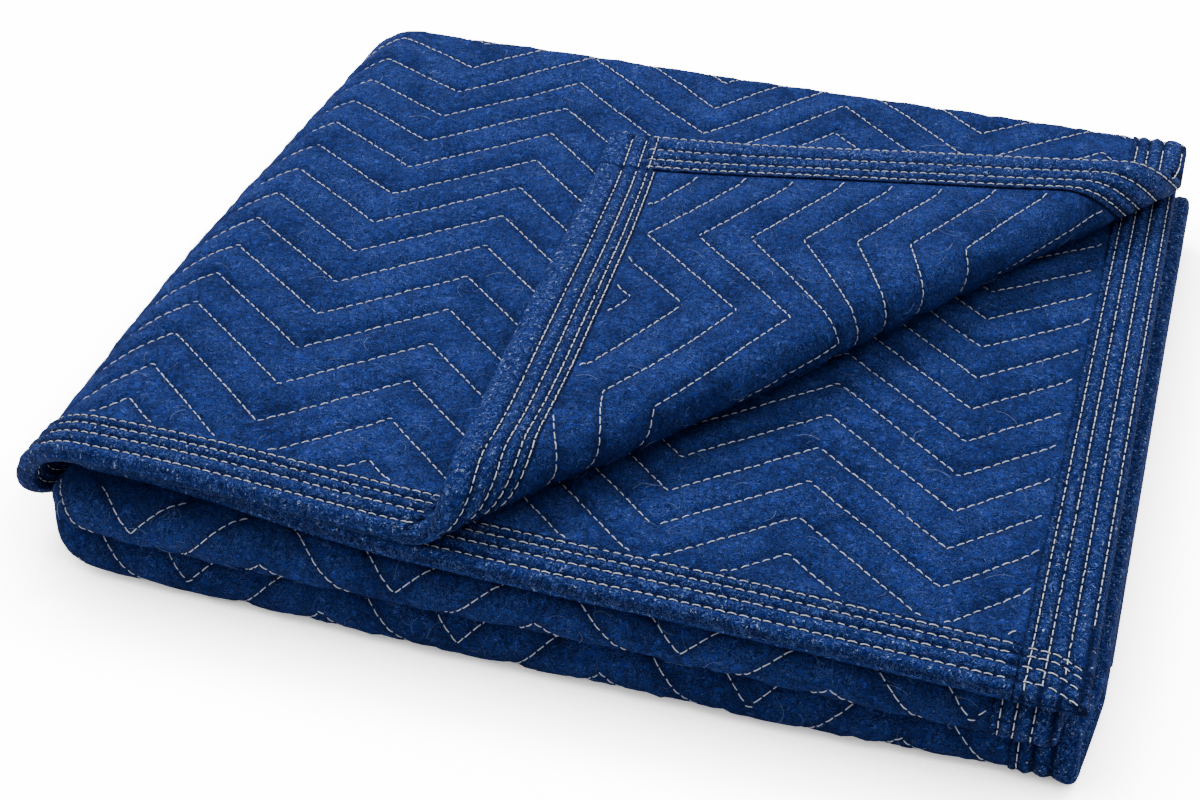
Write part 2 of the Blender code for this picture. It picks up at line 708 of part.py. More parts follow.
def add_quilt():
    grooves, crests = quilt_lines()
    flat, faces = triangulate(grooves + crests + fold_lines() + roll_lines() + edge_lines())
    a, b = flat[:, 0], flat[:, 1]
    half = half_thickness(flat, grooves)
    turned = np.linalg.det(np.stack([flat[faces[:, 1]] - flat[faces[:, 0]], flat[faces[:, 2]] - flat[faces[:, 0]]], -1))
    faces = np.where((turned < 0)[:, None], faces[:, ::-1], faces)
    count = len(flat)
    points = np.concatenate([place(a, b, half), place(a, b, -half)])
    solid = [tuple(f) for f in faces] + [tuple(f[::-1] + count) for f in faces]
    uses = {}
    for f in faces:
        for i, j in ((f[0], f[1]), (f[1], f[2]), (f[2], f[0])):
            uses[(i, j)] = True
    for i, j in uses:
        if (j, i) not in uses:
            solid += [(j, i, i + count), (j, i + count, j + count)]
    return add_node("quilt", points, solid, (0.013, 0.055, 0.27), 0.9)


def section():
    """The binding's section round the panel's edge: (share of the width, millimetres inward, height)."""
    out, inner = SHEET / 2, EDGE_HALF + BINDING_GAP
    return [
        (1.0, 0.0, out - 0.0007),
        (1.0, -0.0010, out),
        (0.5, 0.0, out),
        (0.0, 0.0021, out),
        (0.0, 0.0, 0.0027),
        (0.0, 0.0, -0.0027),
        (0.0, 0.0021, -out),
        (0.5, 0.0, -out),
        (1.0, -0.0010, -out),
        (1.0, 0.0, -out + 0.0007),
        (1.0, 0.0, -inner),
        (0.0, 0.0018, -inner),
        (0.0, 0.0018, inner),
        (1.0, 0.0, inner),
    ]


def add_binding(name, stations, spot, width):
    """A strip folded round one edge: spot(station, inward) gives the flat point at a station."""
    shape = section()
    a, b, n = [], [], []
    for station in stations:
        edge = spot(station, 0.0)
        wide = float(width(edge))
        for share, inward, height in shape:
            point = spot(station, share * wide + inward)
            a.append(point[0])
            b.append(point[1])
            n.append(height)
    points = place(np.array(a), np.array(b), np.array(n))
    size = len(shape)
    faces = []
    for k in range(len(stations) - 1):
        for i in range(size):
            j = (i + 1) % size
            p, q = k * size + i, k * size + j
            if i == size - 4:
                faces += [(p, q, p + size), (q, q + size, p + size)]
            else:
                faces += [(p, q, q + size), (p, q + size, p + size)]
    caps = [(0, 1, 13), (1, 2, 13), (2, 3, 12), (2, 12, 13), (3, 4, 12), (4, 5, 12), (5, 11, 12)]
    caps += [(5, 6, 11), (6, 7, 11), (7, 10, 11), (7, 8, 10), (8, 9, 10)]
    last = (len(stations) - 1) * size
    faces += [(i, k, j) for i, j, k in caps]
    faces += [(i + last, j + last, k + last) for i, j, k in caps]
    middle = np.array(points)
    volume = sum(np.dot(middle[f[0]], np.cross(middle[f[1]], middle[f[2]])) for f in faces)
    if volume < 0:
        faces = [f[::-1] for f in faces]
    return add_node(name, points, faces, (0.020, 0.075, 0.30), 0.85)


def add_bindings():
    for name, stations, spot, width in EDGES:
        add_binding(name, stations, spot, width)


def clear():
    for body in list(bpy.data.objects):
        bpy.data.objects.remove(body)


clear()
add_quilt()
add_bindings()
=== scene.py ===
"""A quilted moving blanket, folded, with the free corner of its top layer turned back: felt panel,
woven bindings, lockstitch rows and loose fibres, in a plain pale studio."""

import bpy
import numpy as np
from mathutils import Matrix, Vector
from mathutils.geometry import delaunay_2d_cdt
from mathutils.kdtree import KDTree


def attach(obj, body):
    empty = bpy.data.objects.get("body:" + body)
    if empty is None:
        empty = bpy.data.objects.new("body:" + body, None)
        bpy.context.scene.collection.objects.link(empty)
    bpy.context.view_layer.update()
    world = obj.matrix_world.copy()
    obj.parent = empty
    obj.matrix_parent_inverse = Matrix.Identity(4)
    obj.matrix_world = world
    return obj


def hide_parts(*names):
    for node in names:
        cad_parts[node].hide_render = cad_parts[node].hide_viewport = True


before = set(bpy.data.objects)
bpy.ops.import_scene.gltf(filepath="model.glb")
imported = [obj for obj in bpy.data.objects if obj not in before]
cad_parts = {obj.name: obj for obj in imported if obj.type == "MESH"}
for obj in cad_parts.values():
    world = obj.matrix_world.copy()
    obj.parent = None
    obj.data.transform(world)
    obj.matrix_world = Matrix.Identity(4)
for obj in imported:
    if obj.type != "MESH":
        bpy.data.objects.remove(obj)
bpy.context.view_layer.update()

# Sizes in metres. The stack rests on Z = 0, with X to the right and Y to the back.
SHEET = 0.0086
STEP = 0.0095
LAYERS = 8
WIDTH = 0.508
BACK = 0.470
CENTRE_X, CENTRE_Y = 0.254, 0.245

# The left turn of the whole stack, about an axis along Y.
TURN_X = 0.026
TURN_LENGTH = 0.100
TURN_BULGE = 0.0035

# Flat lengths along the panel, from the top layer's front edge to the inner layer's front edge.
LONG_LAYER = 0.471
SHORT_LAYER = 0.463
OUTER_TURN = 0.045
FRONT_TURN = 0.030
INNER_TURN = 0.015

# Edge binding and the thinner edge of the panel inside it.
BINDING = 0.032
BINDING_WALL = 0.0011
BINDING_GAP = 0.0005
INSET = 0.0025
EDGE_HALF = SHEET / 2 - BINDING_WALL - BINDING_GAP
CORNER_SQUEEZE = 0.3

# The turned-back corner: a roll along a slanting line, then a flap lying on the top layer.
ROLL_POINT = np.array([0.2275, 0.0125])
ROLL_ANGLE = np.radians(56.0)
ROLL_RADIUS = 0.0115
ROLL_START = -0.0118
FLAP_FALL = np.radians(5.0)
FLAP_SKEW = 0.57
FLAP_SPREAD = 0.085
LEFT_SWELL = 0.0130
ROLL_BEND = 0.010
ALONG = np.array([np.cos(ROLL_ANGLE), np.sin(ROLL_ANGLE)])
ACROSS = np.array([np.sin(ROLL_ANGLE), -np.cos(ROLL_ANGLE)])


# At the front the lower half's inner fold hangs down to the surface over this depth.
DROP_START, DROP_END = 0.070, 0.010
DROP_OUT = 0.034

MIDDLE = (LAYERS / 2 - 1) * STEP + SHEET / 2 + STEP / 2
LOWER_RIGHT = 0.516
LEFT_FLAT = 2 * TURN_X - TURN_LENGTH - LOWER_RIGHT
TURN_END = TURN_X - TURN_LENGTH

B_BACK_OUT = LONG_LAYER
B_SECOND = B_BACK_OUT + OUTER_TURN
B_FRONT = B_SECOND + SHORT_LAYER
B_THIRD = B_FRONT + FRONT_TURN
B_BACK_IN = B_THIRD + SHORT_LAYER
B_FOURTH = B_BACK_IN + INNER_TURN
LENGTH = B_FOURTH + LONG_LAYER

# The bindings' inner edges on the flat panel, and how close the cloth may come to the surface it lies on.
LEFT_IN, RIGHT_IN, END_IN = LEFT_FLAT + BINDING, WIDTH - BINDING, LENGTH - BINDING
FLOOR_CLEAR = 0.0002


def smooth(value, low, high):
    """0 below low, 1 above high, with level ends between."""
    t = np.clip((value - low) / (high - low), 0.0, 1.0)
    return t * t * (3 - 2 * t)


def blend(first, second, weight):
    return first + (second - first) * weight


def turn_angle(a):
    """0 over the upper half, pi under the stack, through the turn at the left."""
    return np.pi * np.clip((TURN_X - a) / TURN_LENGTH, 0.0, 1.0)


def folded_x(a, in_turn):
    """X of the folded stack; one value stands for the whole turn at the left."""
    return np.where(a > TURN_X, a, np.where(a < TURN_END, 2 * TURN_X - TURN_LENGTH - a, in_turn))


def middle_height(a, y, theta):
    """Height of the fold between the halves: lower at the front, where nothing is under it."""
    front = 1 - smooth(y, DROP_END, DROP_START)
    x = folded_x(a, 0.0)
    low = 0.0280 + 0.0026 * smooth(x, 0.10, 0.30) - 0.0022 * smooth(x, 0.36, 0.48)
    return blend(MIDDLE, low, front * (1 - 0.3 * np.sin(theta) ** 2))


def front_line(a, theta, kind):
    """Y of the front end of a layer. It steps back as the stack turns under at the left."""
    upper = theta / np.pi
    x = folded_x(a, TURN_X)
    wave = 0.0012 * np.sin(15.0 * x + 0.6)
    if kind == "top":
        start = 0.002 - 0.004 * smooth(x, 0.05, 0.20) + wave
        start = start + 0.008 * smooth(upper, 0.0, 0.5)
        return blend(start, DROP_START + 0.006, smooth(upper, 0.40, 0.95))
    if kind == "inner":
        start = 0.010 - 0.013 * smooth(x, 0.03, 0.20) + wave
        start = start + 0.010 * smooth(upper, 0.0, 0.5)
        share = np.clip(upper / 0.92, 0.0, 1.0)
        share = blend(share, smooth(share, 0.0, 1.0), 0.45)
        return blend(start, DROP_START + 0.008, share)
    bulge = 0.0035 - 0.0015 * np.sin(9.0 * x) + 0.004 * smooth(x, 0.38, 0.50)
    lower = 0.0090 + 0.0030 * smooth(x, 0.18, 0.34) + 0.0050 * smooth(x, 0.36, 0.50)
    corner = 0.013 * np.exp(-(((upper - 0.42) / 0.26) ** 2))
    share = 0.6 if kind == "inside" else 1.0
    return blend(bulge, lower, smooth(upper, 0.3, 0.9)) + corner * share


def layer_heights(a, y, theta, number):
    """Heights of a layer's middle in the upper and in the lower half. Layers count from 1 at the top."""
    upper = theta / np.pi
    middle = middle_height(a, y, theta)
    front = 1 - smooth(y, DROP_END, DROP_START)
    drop = front * smooth(upper, 0.45, 1.0)
    if number == 1:
        return MIDDLE + 3.5 * STEP + 0 * middle, MIDDLE - 3.5 * STEP + 0 * middle
    if number == 4:
        return MIDDLE + 2.5 * STEP + 0 * middle, MIDDLE - 2.5 * STEP + 0 * middle
    if number == 2:
        return middle + 0.5 * STEP + 0.0003 * front, middle - 0.5 * STEP - 0.0003 * front
    high = MIDDLE + 1.5 * STEP - 0.0008 * front
    low = blend(middle - 1.5 * STEP, SHEET / 2 + 0.0003, drop)
    return high, low


def depth_path(a, b):
    """(y, upper height, lower height, middle height) of the panel's middle surface at the flat point a, b."""
    theta = turn_angle(a)
    shape = np.broadcast(a, b).shape
    a, b, theta = (np.broadcast_to(v, shape) for v in (a, b, theta))
    y, up, down = np.zeros(shape), np.zeros(shape), np.zeros(shape)
    lines = [front_line(a, theta, kind) for kind in ("top", "inner", "outside", "inside")]
    top_front, inner_front, nose, nose_in = lines

    layers = (
        (-np.inf, B_BACK_OUT, 0.0, top_front, BACK, LONG_LAYER),
        (B_SECOND, B_FRONT, B_SECOND, BACK, nose_in, SHORT_LAYER),
        (B_THIRD, B_BACK_IN, B_THIRD, nose, BACK, SHORT_LAYER),
        (B_FOURTH, np.inf, B_FOURTH, BACK, inner_front, LONG_LAYER),
    )
    for number, (low, high, origin, start, end, length) in enumerate(layers, 1):
        part = (b > low) & (b <= high)
        line = blend(start, end, (b - origin) / length)
        h = layer_heights(a, np.where(part, line, 0.2), theta, number)
        y, up, down = np.where(part, line, y), np.where(part, h[0], up), np.where(part, h[1], down)

    turns = ((B_BACK_OUT, B_SECOND, OUTER_TURN, 1.5), (B_BACK_IN, B_FOURTH, INNER_TURN, -0.5))
    for low, high, length, size in turns:
        part = (b > low) & (b <= high)
        turn = np.pi * (b - low) / length
        crest = MIDDLE + 2 * STEP + size * STEP * np.cos(turn)
        y = np.where(part, BACK + abs(size) * STEP * np.sin(turn), y)
        up, down = np.where(part, crest, up), np.where(part, 2 * MIDDLE - crest, down)

    part = (b > B_FRONT) & (b <= B_THIRD)
    turn = np.pi * (b - B_FRONT) / FRONT_TURN
    first = layer_heights(a, nose_in, theta, 2)
    second = layer_heights(a, nose, theta, 3)
    share = smooth(theta / np.pi, 0.0, 1.0)
    radius = blend((second[0] - first[0]) / 2, (first[1] - second[1]) / 2, share)
    ratio = (1 - np.cos(turn)) / 2
    y = np.where(part, blend(nose_in, nose, ratio) - radius * np.sin(turn), y)
    up = np.where(part, blend(first[0], second[0], ratio), up)
    down = np.where(part, blend(first[1], second[1], ratio), down)
    return y, up, down, middle_height(a, y, theta)


def right_end(b, upper):
    """How far each layer's right edge stands from the nominal edge, along the panel."""
    out, back = DROP_OUT, B_BACK_IN
    stops = [0, B_BACK_OUT, B_SECOND, B_FRONT - out, B_FRONT]
    stops += [B_THIRD, B_THIRD + out, back, B_FOURTH, LENGTH]
    if upper:
        moves = [0.0, 0.001, -0.001, -0.003, -0.010, -0.010, -0.004, -0.002, -0.001, -0.0005]
    else:
        moves = [-0.001, 0.001, 0.001, -0.002, -0.008, -0.006, -0.001, 0.0, 0.001, 0.0]
    return np.interp(b, stops, moves)


def roll_curve():
    """Samples of the turned corner's section: (distance along the sheet, across, up)."""
    s = np.linspace(0.0, 0.30, 1201)
    arc = (np.pi + FLAP_FALL) * ROLL_RADIUS
    ease = 0.006
    rate = smooth(s, -ease, ease * 2) * (1 - smooth(s, arc - ease + 0.003, arc + ease + 0.003))
    rate = rate / ROLL_RADIUS
    angle = np.concatenate([[0.0], np.cumsum((rate[1:] + rate[:-1]) / 2 * np.diff(s))])
    angle *= (np.pi + FLAP_FALL) / angle[-1]
    up = np.concatenate([[0.0], np.cumsum(np.sin((angle[1:] + angle[:-1]) / 2) * np.diff(s))])
    rest = SHEET + 0.0012
    crest = np.argmax(up)
    land = np.where((up < rest + 0.004) & (np.arange(s.size) > crest))[0]
    if land.size:
        start = land[0]
        reach = s - s[start]
        angle = np.where(reach > 0, np.pi + FLAP_FALL * (1 - smooth(reach, 0.0, 0.085)), angle)
    step = np.diff(s)
    mid = (angle[1:] + angle[:-1]) / 2
    up = np.concatenate([[0.0], np.cumsum(np.sin(mid) * step)])
    across = np.concatenate([[0.0], np.cumsum(np.cos(mid) * step)])
    return s, across, up


ROLL = roll_curve()


def roll_bend(along):
    """The roll starts a little earlier near the front edge, where the corner lifts more gently."""
    return ROLL_BEND * (1 - smooth(along, -0.02, 0.15))


def flap_spread(s):
    """How much further than its own length the laid-back flap reaches at a distance along the sheet."""
    reach = np.maximum(s - 0.055, 0.0)
    return FLAP_SPREAD * np.where(reach < 0.030, reach**2 / 0.060, reach - 0.015)


def turn_corner(x, y, z):
    """Rolls the part of the top layer beyond the slanting line over, and lays it back to the left."""
    flat = np.stack([x - ROLL_POINT[0], y - ROLL_POINT[1]], -1)
    along = flat @ ALONG
    bend = roll_bend(along)
    s = flat @ ACROSS - ROLL_START + bend
    past = s > 0
    clipped = np.clip(s, 0.0, 0.2999)
    across = np.interp(clipped, ROLL[0], ROLL[1]) - flap_spread(clipped)
    up = np.interp(clipped, ROLL[0], ROLL[2])
    near = 0.5 * np.maximum(clipped - 0.020, 0) ** 2 / 0.020
    skew = FLAP_SKEW * np.where(clipped < 0.040, near, clipped - 0.030)
    place = ROLL_START - bend + across
    new_x = ROLL_POINT[0] + place * ACROSS[0] + (along + skew) * ALONG[0]
    new_y = ROLL_POINT[1] + place * ACROSS[1] + (along + skew) * ALONG[1]
    return np.where(past, new_x, x), np.where(past, new_y, y), np.where(past, z + up, z)


def settle(x, y, z):
    """The soft stack lies lower towards its front right corner, and its top is a little uneven."""
    low = 0.085 * smooth(x, 0.30, 0.50) * (1 - smooth(y, 0.02, 0.30))
    swell = 0.011 * np.sin(11.0 * x + 0.5) * np.cos(9.0 * y + 0.3) + 0.003 * np.sin(21.0 * x - 15.0 * y)
    return z * (1 - low + swell)


def middle_surface(a, b):
    """The panel's middle surface in its folded shape."""
    a, b = np.broadcast_arrays(np.asarray(a, float), np.asarray(b, float))
    theta = turn_angle(a)
    y, up, down, middle = depth_path(a, b)
    weight = (1 - np.cos(theta)) / 2
    radius = blend(up - middle, middle - down, weight)
    radius = radius + TURN_BULGE * np.sin(theta) ** 2
    ramp = smooth(a, 0.40, WIDTH)
    ramp_low = smooth(-a, -LEFT_FLAT - 0.11, -LEFT_FLAT)
    x_up = a + right_end(b, True) * ramp
    x_low = 2 * TURN_X - TURN_LENGTH - a + right_end(b, False) * ramp_low
    x = np.where(a >= TURN_X, x_up, np.where(a <= TURN_END, x_low, TURN_X - radius * np.sin(theta)))
    z = np.where(a >= TURN_X, up, np.where(a <= TURN_END, down, middle + radius * np.cos(theta)))
    top = (b <= B_BACK_OUT) & (a > 0.10)
    rx, ry, rz = turn_corner(x, y, z)
    x, y, z = np.where(top, rx, x), np.where(top, ry, y), np.where(top, rz, z)
    return np.stack([x, y, z], -1)


def side_swell(x, y):
    """How far the stack's turned left side stands out: a little more towards its back."""
    return LEFT_SWELL * smooth(y, -0.04, 0.24) * (1 - smooth(x, -0.03, 0.36))


def place(a, b, n):
    """World positions of points n above the panel's middle surface, on its outer side where n is positive."""
    a, b, n = np.broadcast_arrays(np.asarray(a, float), np.asarray(b, float), np.asarray(n, float))
    d = 0.0004
    along_a = middle_surface(a + d, b) - middle_surface(a - d, b)
    along_b = middle_surface(a, b + d) - middle_surface(a, b - d)
    normal = np.cross(along_a, along_b)
    normal /= np.linalg.norm(normal, axis=-1, keepdims=True)
    point = middle_surface(a, b) + normal * n[..., None]
    x, y, z = point[..., 0], point[..., 1], point[..., 2]
    return np.stack([x - side_swell(x, y) - CENTRE_X, y - CENTRE_Y, settle(x, y, z)], -1)


# ---- the flat pattern of the quilting, as zigzag rows ----


def front_width(a):
    """Width of the outer front binding, wider in the flat where the turned corner draws it in."""
    return BINDING * (1 + 0.32 * smooth(a, 0.215, 0.28))


def top_b(a, y):
    front = front_line(a, turn_angle(a), "top")
    return (y - front) / (BACK - front) * LONG_LAYER


def inner_b(a, y):
    front = front_line(a, turn_angle(a), "inner")
    return B_FOURTH + (BACK - y) / (BACK - front) * LONG_LAYER


def roll_distance(a, y):
    along = (a - ROLL_POINT[0]) * ALONG[0] + (y - ROLL_POINT[1]) * ALONG[1]
    across = (a - ROLL_POINT[0]) * ACROSS[0] + (y - ROLL_POINT[1]) * ACROSS[1]
    return across - ROLL_START + roll_bend(along)


def top_row(r):
    """One zigzag row on the top layer, on round the left turn and over the back fold."""
    first = 0.465 - 0.0293 * (r - 1)
    valley = 0.4710 - 0.03195 * r
    peak = 0.4740 - 0.0330 * (r - 2)
    valley_2 = 0.466 - 0.0315 * r - min(max(0.0072 * (r - 2), 0.0), 0.0215)
    peak_2 = 0.460 - 0.0325 * (r - 3)
    valley_3 = 0.450 - 0.0325 * (r - 1)
    corners = [(-0.133 - 0.071 * i, first + (0.004 if i % 2 == 0 else -0.056)) for i in range(6, -1, -1)]
    corners += [
        (-0.062, first - 0.056),
        (0.0180 + 0.030 * (0.46 - first), first),
        (0.0725 + 0.066 * (0.46 - valley), valley),
        (0.1424 + 0.048 * (0.46 - peak), peak),
        (0.2275 + 0.05 * (0.46 - valley_2), valley_2),
        (0.3025 + 0.03 * (0.46 - peak_2), peak_2),
        (0.3885, valley_3),
        (0.460, valley_3 + 0.065),
        (0.530, valley_3),
    ]
    return [(x, float(top_b(np.float64(x), y))) for x, y in corners]


def inner_row(m):
    """One zigzag row on the layer that the turned corner uncovers."""
    left = 0.1058 - 0.0268 * (m - 7)
    peak = 0.1888 - 0.0271 * (m - 6)
    valley = 0.2960 - 0.0268 * m
    corners = [
        (0.165, left),
        (0.235, left + 0.056),
        (0.2992 + 0.03 * (0.1036 - left), left),
        (0.3586 + 0.045 * (0.187 - peak), peak),
        (0.420 + 0.063 * (0.294 - valley), valley),
        (0.492, valley + 0.056),
        (0.545, valley + 0.012),
    ]
    return [(x, float(inner_b(np.float64(x), y))) for x, y in corners]


def roll_point(s, along):
    """The flat points of the top layer at a distance past the roll's first line."""
    start = s + ROLL_START - roll_bend(along)
    a = ROLL_POINT[0] + start * ACROSS[0] + along * ALONG[0]
    y = ROLL_POINT[1] + start * ACROSS[1] + along * ALONG[1]
    return a, top_b(a, y)


def follow_roll(s, index, target):
    """The flat points on the roll's line s where their a (index 0) or b (index 1) meets the target."""
    target = np.asarray(target, float)
    along = np.full(target.shape, 0.0 if index else 0.5)
    for _ in range(12):
        along = along + (target - roll_point(s, along)[index]) / ALONG[index]
    return roll_point(s, along)


def flap_point(x, y):
    """The flat point of the top layer that comes to lie at x, y on the turned-back flap."""
    x = x + side_swell(x, y)
    across = (x - ROLL_POINT[0]) * ACROSS[0] + (y - ROLL_POINT[1]) * ACROSS[1] - ROLL_START
    along = (x - ROLL_POINT[0]) * ALONG[0] + (y - ROLL_POINT[1]) * ALONG[1]
    bend = 0.0
    for _ in range(4):
        s = float(np.interp(-across - bend, -FLAP_ACROSS, FLAP_REACH))
        skew = FLAP_SKEW * (s - 0.030 if s > 0.040 else 0.5 * max(s - 0.020, 0.0) ** 2 / 0.020)
        bend = float(roll_bend(along - skew))
    return tuple(float(v) for v in roll_point(s, along - skew))


FLAP_REACH = np.linspace(-0.270, 0.2999, 571)
FLAP_ACROSS = np.interp(np.maximum(FLAP_REACH, 0.030), ROLL[0], ROLL[1]) - flap_spread(FLAP_REACH)
FLAP_ACROSS = FLAP_ACROSS + np.maximum(0.030 - FLAP_REACH, 0.0)


def flap_row(n):
    """One zigzag row on the underside of the turned corner."""
    x = 0.2341 + 0.0283 * n
    low = x + 0.025 - 0.003 * n
    corners = [
        (x + 0.044, 0.347 + 0.004 * n),
        (x, 0.260 + 0.0039 * n),
        (x + 0.068, 0.1925),
        (low, 0.104 - 0.001 * n),
        (low + 0.034, 0.039),
        (low - 0.004, -0.026),
    ]
    return [flap_point(*corner) for corner in corners]


def band_row(k, start, end, middle, first_up):
    """One zigzag row across a front fold band; start and end are flat a, middle is the band's flat b."""
    points = []
    count = int(round(abs(end - start) / 0.070))
    for i in range(count + 1):
        up = (i + first_up) % 2 == 0
        points.append((start + (end - start) * i / count, middle + 0.029 * k + (0.029 if up else -0.029)))
    return points


PAD = 0.0040
NEAR_EDGE = 0.0008


def plain_y(a, b):
    """Y on the top layer before its corner is turned, near enough to tell what shows."""
    return front_line(a, turn_angle(a), "top") + b / LONG_LAYER * (BACK - 0.002)


def in_top(a, b, pad=PAD):
    edge = (b > front_width(a) + pad) & (a < RIGHT_IN - pad) & (b < B_SECOND - 0.004)
    shown = (a > TURN_END - 0.006) | ((a > LEFT_IN + pad) & (b > B_BACK_OUT - 0.004))
    return edge & shown & (roll_distance(a, plain_y(a, b)) < -0.006)


def in_flap(a, b, pad=PAD):
    edge = (b > front_width(a) + pad) & (a < RIGHT_IN - pad)
    return edge & (b < B_BACK_OUT - 0.01) & (roll_distance(a, plain_y(a, b)) > 0.004)


def in_inner(a, b, pad=PAD):
    y = BACK - (b - B_FOURTH) / LONG_LAYER * (BACK + 0.002)
    edge = (b < END_IN - pad) & (a < RIGHT_IN - pad)
    return edge & (a > 0.19) & (b > B_FOURTH + 0.01) & (roll_distance(a, y) > -0.034)


def in_upper_band(a, b, pad=PAD):
    return (b > B_FRONT - 0.020) & (b < B_THIRD + 0.006) & (a > 0.0) & (a < RIGHT_IN - pad)


def in_lower_band(a, b, pad=PAD):
    low = LEFT_IN + pad
    return (b > B_FRONT - 0.006) & (b < B_THIRD + 0.016) & (a < TURN_END + 0.012) & (a > low)


def clip(points, inside, pad):
    """The runs of a polyline inside a region, as points about a millimetre apart."""
    fine = []
    for p, q in zip(points[:-1], points[1:]):
        p, q = np.array(p), np.array(q)
        steps = max(2, int(np.linalg.norm(q - p) / 0.0010))
        fine += [p + (q - p) * i / steps for i in range(steps)]
    fine = np.array(fine + [np.array(points[-1])])
    keep = inside(fine[:, 0], fine[:, 1], pad)
    runs, run = [], []
    for i in range(len(fine)):
        if keep[i]:
            run.append(fine[i])
        if run and (not keep[i] or i == len(fine) - 1):
            if len(run) > 8:
                runs.append(np.array(run))
            run = []
    return runs


def quilting(pad):
    """Every stitched row with the faces it shows on: (points in the flat, faces as +1 and -1)."""
    plan = [(top_row(r), in_top, (1,)) for r in range(-6, 19)]
    plan += [(inner_row(m), in_inner, (-1,)) for m in range(-5, 15)]
    plan += [(flap_row(n), in_flap, (-1, 1)) for n in range(-4, 12)]
    middle = (B_FRONT + B_THIRD) / 2
    for k in range(-2, 3):
        plan.append((band_row(k, 0.535, -0.01, middle, 0), in_upper_band, (1,)))
        plan.append((band_row(k, -0.06, -0.62, middle, 1), in_lower_band, (1,)))
    return [(run, faces) for points, inside, faces in plan for run in clip(points, inside, pad)]


# ---- small helpers ----


def wander(p, q, seed):
    """A smooth uneven field between about -1 and 1 over the flat panel."""
    rng = np.random.default_rng(seed)
    total = np.zeros(np.broadcast(p, q).shape)
    for _ in range(9):
        way, size, shift = rng.uniform(0, 2 * np.pi), rng.uniform(0.6, 1.7), rng.uniform(0, 2 * np.pi)
        total = total + np.sin((p * np.cos(way) + q * np.sin(way)) * size * 2 * np.pi + shift)
    return total / 4.5


class RowFinder:
    """Finds, for flat points, the distance to the nearest stitched row and the distance along it."""

    def __init__(self, rows):
        self.spots = np.concatenate([run for run, _ in rows])
        self.run = np.concatenate([np.full(len(run), i) for i, (run, _) in enumerate(rows)])
        steps = np.hypot(*np.diff(self.spots, axis=0, prepend=self.spots[:1]).T)
        self.travel = np.cumsum(np.minimum(steps, 0.002))
        self.tree = KDTree(len(self.spots))
        for i, (a, b) in enumerate(self.spots):
            self.tree.insert((a, b, 0.0), i)
        self.tree.balance()

    def find(self, points):
        points = np.asarray(points, float)
        index = np.array([self.tree.find((p[0], p[1], 0.0))[1] for p in points.tolist()])
        near, along = np.full(len(points), 1.0), np.zeros(len(points))
        for step in (-1, 1):
            other = np.clip(index + step, 0, len(self.spots) - 1)
            other = np.where(self.run[other] == self.run[index], other, index)
            start, reach = self.spots[index], self.spots[other] - self.spots[index]
            size = np.maximum((reach**2).sum(1), 1e-12)
            t = np.clip(((points - start) * reach).sum(1) / size, 0.0, 1.0)
            gap = np.hypot(*(points - start - t[:, None] * reach).T)
            closer = gap < near
            near = np.where(closer, gap, near)
            along = np.where(closer, self.travel[index] + step * t * np.sqrt(size), along)
        return near, along


def add_object(name, data):
    body = bpy.data.objects.new(name, data)
    bpy.context.scene.collection.objects.link(body)
    return body


def make_mesh(name, points, faces, material):
    mesh = bpy.data.meshes.new(name)
    mesh.from_pydata(np.asarray(points).tolist(), [], [tuple(int(i) for i in f) for f in faces])
    mesh.validate()
    mesh.shade_smooth()
    mesh.materials.append(material)
    return add_object(name, mesh)


def mark_points(body, hollow, uv_name, uv):
    """Keeps each point's closeness to a stitched row, which the materials turn into painted shade, and its
    flat place.
    """
    layer = body.data.attributes.new("hollow", "FLOAT", "POINT")
    layer.data.foreach_set("value", np.asarray(hollow, np.float32))
    layer = body.data.uv_layers.new(name=uv_name)
    index = np.empty(len(body.data.loops), np.int32)
    body.data.loops.foreach_get("vertex_index", index)
    layer.data.foreach_set("uv", uv.astype(np.float32)[index].ravel())


# ---- the quilted panel ----

GROOVE_DEPTH, GROOVE_SPREAD = 0.0012, 0.0018
HOLLOW_DEPTH, HOLLOW_SPREAD = 0.0018, 0.0078
PUCKER = 0.00034
# Half the panel's thickness where it goes into a binding, and two grains of unevenness: size, length, seed.
BOUND_HALF = 0.00315
UNEVEN = ((0.00022, 0.034, 3), (0.00012, 0.012, 9))


def edge_reach(a, b):
    """Distance of a flat point inward from the nearest binding's inner edge."""
    sides = np.broadcast_arrays(b - front_width(a), END_IN - b, RIGHT_IN - a, a - LEFT_FLAT - BINDING)
    return np.minimum.reduce(sides)


